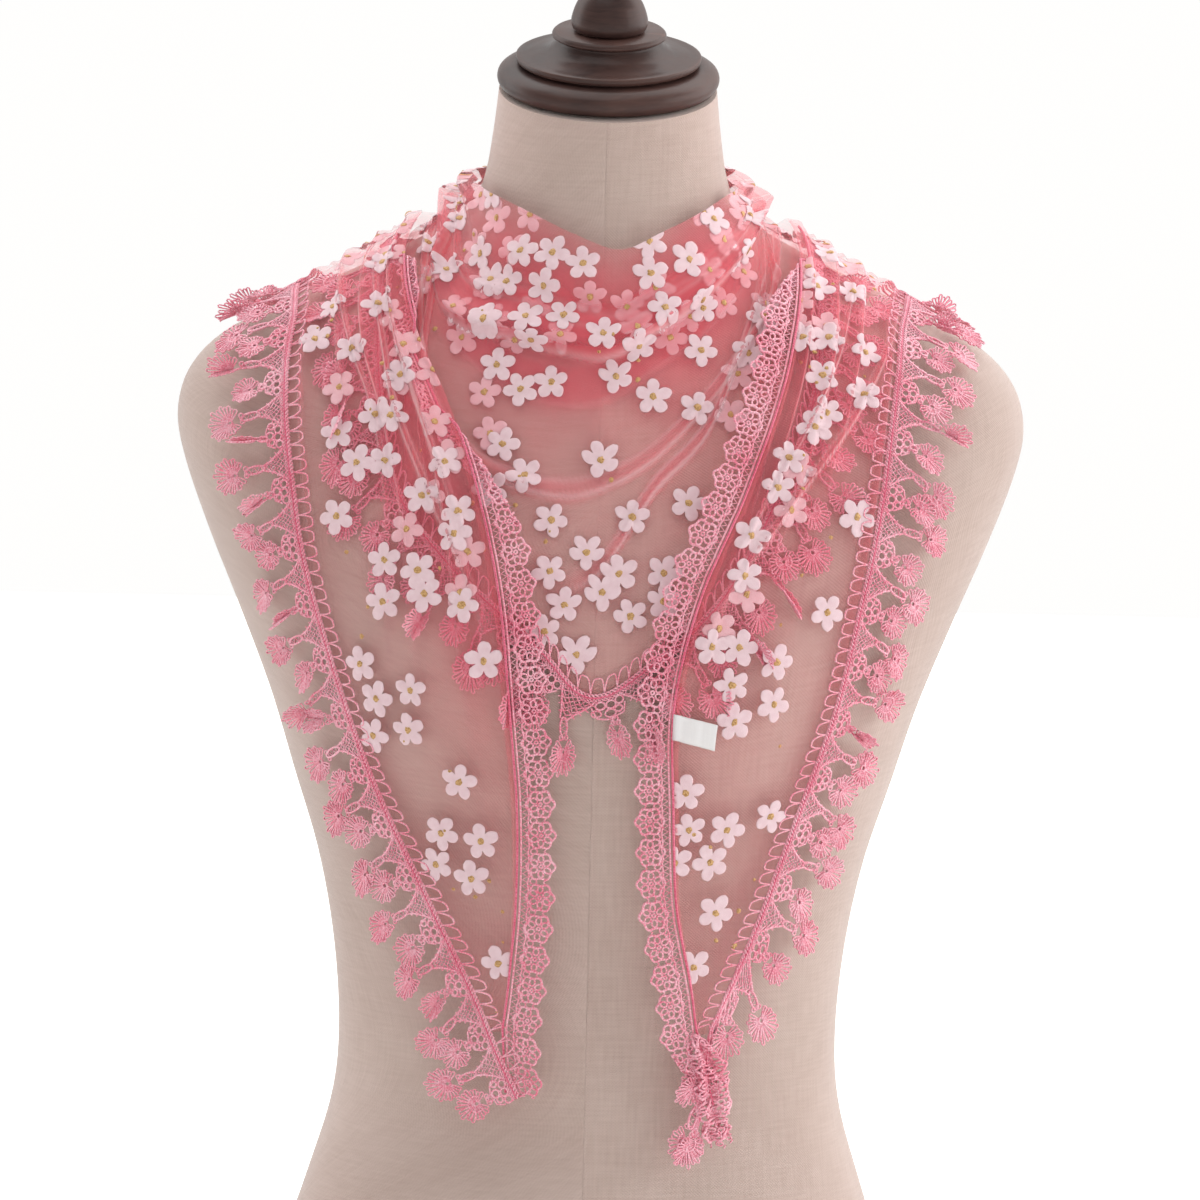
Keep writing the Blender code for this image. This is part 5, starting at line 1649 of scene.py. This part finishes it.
# %% Domed patches
class Patches(Gathered):
    """Domed round patches gathered into one mesh: petals, gold centres and gold dots."""

    def add(self, stretch, run, share, reach, turn, rings, lift):
        """One patch: reach is its outline's radii in mm, rings its shares and heights."""
        angles = np.arange(len(reach)) * 2 * pi / len(reach)
        shares, heights = np.array(rings).T[..., None]
        radius = reach[None] * shares * MM
        along, across = radius * np.cos(angles + turn), radius * np.sin(angles + turn)
        points = on_cloth(stretch, run, share, along, across,
                          (heights + lift) * MM + 0 * radius)
        quads = grid_quads(len(rings), len(reach), self.count, closed=True)
        cap = list(range(self.count, self.count + len(reach)))
        facing = np.cross(points[0, 1] - points[0, 0], points[1, 0] - points[0, 0])
        if facing @ stretch.at(run, share)[1] > 0:
            cap.reverse()
        else:
            quads = quads[:, ::-1]
        self.caps.append(cap)
        self.keep(points, quads, beside(along + run, across + share))


GOLD_RINGS = [(0.35, 0.5), (0.75, 0.42), (1.0, 0.05)]
DOT_RINGS = [(0.5, 0.55), (1.0, 0.05)]
GOLD_LIFT = 0.18              # mm: a daisy's centre over its petals


# %% Where each daisy goes
def daisy_places(name, rng):
    """Where the daisies of one stretch go: run, share, and the side of the net."""
    stretch = STRETCHES[name]
    places = []
    if name.startswith("wrap"):
        length, width = stretch.step_run.mean(), stretch.step_share.mean()
        for row in range(int(length / WRAP_DAISY_PITCH)):
            for column in range(int(width / WRAP_DAISY_PITCH) + 1):
                run = (row + 0.5 + rng.uniform(-0.35, 0.35)) * WRAP_DAISY_PITCH / length
                share = (column + 0.5 * (row % 2) + rng.uniform(-0.3, 0.3))
                share = share * WRAP_DAISY_PITCH / width
                if 0.02 < run < 0.98 and 0.08 < share < 0.92 and rng.random() < WRAP_DAISIES:
                    places.append((run, share, PRINTED))
        return places
    for placed in (Group(*row) for row in GROUPS_PLACED[name]):
        turn = radians(placed.turn)
        for right, up in GROUPS[placed.group]:
            x = placed.x + right * cos(turn) - up * sin(turn)
            z = placed.z + right * sin(turn) + up * cos(turn)
            places.append((*stretch.nearest(x * MM, z * MM), placed.lift))
    return places


# %% Every daisy and dot
def build_daisies(name, seed):
    """The daisies, their gold centres and the gold dots of one stretch."""
    rng = np.random.default_rng(seed)
    stretch = STRETCHES[name]
    flock, gold = Patches(), Patches()
    angles = np.arange(DAISY_ANGLES) * 2 * pi / DAISY_ANGLES
    for run, share, lift in daisy_places(name, rng):
        size = rng.uniform(0.93, 1.05)
        reach = daisy_reach(angles) * size * rng.normal(1, 0.012, DAISY_ANGLES)
        turn = rng.uniform(0, 2 * pi)
        flock.add(stretch, run, share, reach, turn, DAISY_RINGS, lift)
        gold.add(stretch, run, share, GOLD_RADIUS * rng.normal(1, 0.12, 12), turn,
                 GOLD_RINGS, lift + GOLD_LIFT)
    for dot in range(GOLD_DOTS[name]):
        run, share = rng.uniform(0.05, 0.95), rng.uniform(0.15, 0.9)
        gold.add(stretch, run, share, rng.uniform(0.7, 1.25) * rng.normal(1, 0.15, 8), 0.0,
                 DOT_RINGS, 0.1)
    made = [flock.build("daisies_" + name, FLOCK), gold.build("gold_" + name, GOLD)]
    for piece in made:
        finish_piece(piece)
    return made


DAISIES = {name: build_daisies(name, 60 + number)
           for number, name in enumerate(STRETCHES)}

# %% [markdown]
# ## The label
# A short length of blank white satin tape is sewn into the inner seam of one end. It lies
# loose, so its free edge lifts a little from the net. It is laid like the daisies, as a
# small curled grid, and a Solidify modifier gives it a real cut edge.

# %% The label
LABEL_RUN, LABEL_SHARE = 0.606, 0.008
LABEL_WIDTH, LABEL_HEIGHT = 17.0, 11.5        # mm
LABEL_LIFT, LABEL_CURL = 1.3, 1.4             # mm off the net, and more at its free end
LABEL_SLANT = 2.6             # mm that its free end hangs lower
LABEL_THICKNESS = 0.3 * MM


def tape_material():
    """White satin tape: a fine weave with painted shade in its hollows, and a slight lustre."""
    tape = Finish("satin_tape", (0.86, 0.83, 0.83), 0.45, Sheen_Weight=0.2)
    weave = tape.add("Group", {"Vector": tape.place(), "Threads": 3200.0, "Slub": 0.3},
                     node_tree=PLAIN_WEAVE).outputs
    tape.paint(weave["Shade"], (0.80, 0.77, 0.77), (0.90, 0.88, 0.88))
    tape.bump(weave["Height"], 0.00008, 0.6)
    return tape.material


# %% The tape on its seam
def build_label():
    """The tape, slightly curled, on the right end's inner seam."""
    across, down = np.meshgrid(np.linspace(0, 1, 18), np.linspace(0, 1, 14))
    lift = LABEL_LIFT + LABEL_CURL * across ** 2 + 0.5 * (down - 0.5) ** 2
    slant = LABEL_SLANT * across
    points = on_cloth(ENDS["right"], LABEL_RUN, LABEL_SHARE,
                      (down * LABEL_HEIGHT + slant) * MM, across * LABEL_WIDTH * MM,
                      lift * MM)
    uv = beside(across * LABEL_WIDTH, down * LABEL_HEIGHT) * MM
    made = new_piece("label_tape", points, grid_quads(*across.shape), tape_material(), uv)
    wall = made.modifiers.new("wall", "SOLIDIFY")
    wall.thickness = LABEL_THICKNESS
    return finish_piece(made, ["label"])


LABEL = build_label()

# %% [markdown]
# ## Every sheet and its cut
# Cloth is cut flat before it is worn. The flat size that each stretch was cut to is listed
# with what lies under it, and its lace and daisies are gathered with it. The flat size is
# what the worn piece measures with its creases pulled out, and the same measure is printed
# here to compare.

CUTS = {
    "front": (0.209, 0.557, 0.0443, ["form_linen"]),
    "wrap_left": (0.099, 0.352, 0.0210, ["form_linen"]),
    "wrap_right": (0.110, 0.376, 0.0230, ["wrap_left_net", "form_linen"]),
    "end_left": (0.093, 0.418, 0.0272, ["form_linen", "front_drape_net"]),
    "end_right": (0.080, 0.419, 0.0239, ["form_linen", "front_drape_net"]),
}


def declare_sheets():
    for name, (width, length, area, under) in CUTS.items():
        top, lower = NETS[name]
        sewn = [lower, *DAISIES[name]]
        if name in WIDE_LACES:
            sewn += WIDE_LACES[name]
        if name.startswith("end"):
            sewn += NARROW_LACES[name[4:]]
        if name == "end_right":
            sewn.append(LABEL)
        print(name, "measures", [round(value, 4) for value in measured_cut(STRETCHES[name])])


declare_sheets()

# %% [markdown]
# ## Stage, light and camera
# Small lamps would throw hard shadows through the lace, so white surroundings wrap the form
# in soft light. They are dimmer in front, behind the camera, and brightest at both sides
# behind, so the form's edges glow. A large soft lamp stands to the right.

# %% Floor and surroundings
FLOOR_SIZE = 14.0
TARGET = Vector((0.0016, 0.0, 0.5015))        # what the camera looks at
CAMERA_DISTANCE = 1.8
CAMERA_ELEVATION = radians(4.0)
CAMERA_ROLL = radians(-1.3)
FRAME_WIDTH = 0.561           # metres across at the middle of the form
SENSOR = 36.0
LEFT_LIGHT, RIGHT_LIGHT = 0.38, 0.70         # of the surroundings at each side
RIM_LIGHT, BACK_LIGHT = 2.3, 0.35            # more at the sides behind, and right behind


def build_stage():
    """A pale floor and white, soft light from all round, weaker from the front."""
    pale = Finish("pale_floor", (0.80, 0.80, 0.79), 0.9)
    seen = pale.add("LightPath").outputs["Is Camera Ray"]
    pale.shader["Emission Color"].default_value = (1.0, 1.0, 0.99, 1.0)
    pale.feed(pale.math("MULTIPLY", seen, 0.5), pale.shader["Emission Strength"])
    corners = [(x * FLOOR_SIZE / 2, y * FLOOR_SIZE / 2, 0)
               for x, y in ((-1, -1), (1, -1), (1, 1), (-1, 1))]
    new_piece("floor", corners, [(0, 1, 2, 3)], pale.material)

    world = bpy.data.worlds.new("white_room")
    bpy.context.scene.world = world
    world.use_nodes = True
    room = Nodes(world.node_tree)
    way = room.add("SeparateXYZ", {0: room.add("TexCoord").outputs["Generated"]}).outputs
    sides = room.span(way[0], -1.0, 1.0, LEFT_LIGHT, RIGHT_LIGHT)
    rim = room.span(way[1], -0.05, 0.20, 0.0, RIM_LIGHT)
    fall = room.span(way[1], 0.40, 0.75, 0.0, RIM_LIGHT - BACK_LIGHT)
    around = room.math("ADD", sides, room.math("SUBTRACT", rim, fall))
    seen = room.add("LightPath").outputs["Is Camera Ray"]
    background = room.tree.nodes["Background"].inputs
    room.feed(room.add("Mix", {0: seen, 2: around, 3: 1.0}).outputs[0],
              background["Strength"])
    background["Color"].default_value = (1.0, 0.995, 0.985, 1.0)


# %% Lamps and camera
def soft_lamp(name, place, size, power):
    """A square area lamp that faces the chest."""
    data = bpy.data.lights.new(name, "AREA")
    data.size, data.energy = size, power
    lamp = new_object(name, data)
    lamp.location = place
    away = Vector(place) - Vector((0, 0, 0.5))
    lamp.rotation_euler = away.to_track_quat("Z", "Y").to_euler()


def build_camera():
    """A long lens at chest height, turned a little about its own axis."""
    data = bpy.data.cameras.new("camera")
    data.sensor_width = SENSOR
    data.lens = SENSOR * CAMERA_DISTANCE / FRAME_WIDTH
    camera = new_object("camera", data)
    offset = Vector((0, -cos(CAMERA_ELEVATION), sin(CAMERA_ELEVATION))) * CAMERA_DISTANCE
    facing = offset.to_track_quat("Z", "Y").to_matrix().to_4x4()
    turn = Matrix.Rotation(-CAMERA_ROLL, 4, "Z")
    camera.matrix_world = Matrix.Translation(TARGET + offset) @ facing @ turn
    bpy.context.scene.camera = camera


build_stage()
soft_lamp("right_softbox", (2.0, -0.5, 1.1), 1.4, 13.0)
soft_lamp("top_softbox", (-0.3, -0.6, 2.2), 1.2, 6.0)
build_camera()
bpy.context.scene.view_settings.view_transform = "Standard"
bpy.context.scene.view_settings.look = "None"
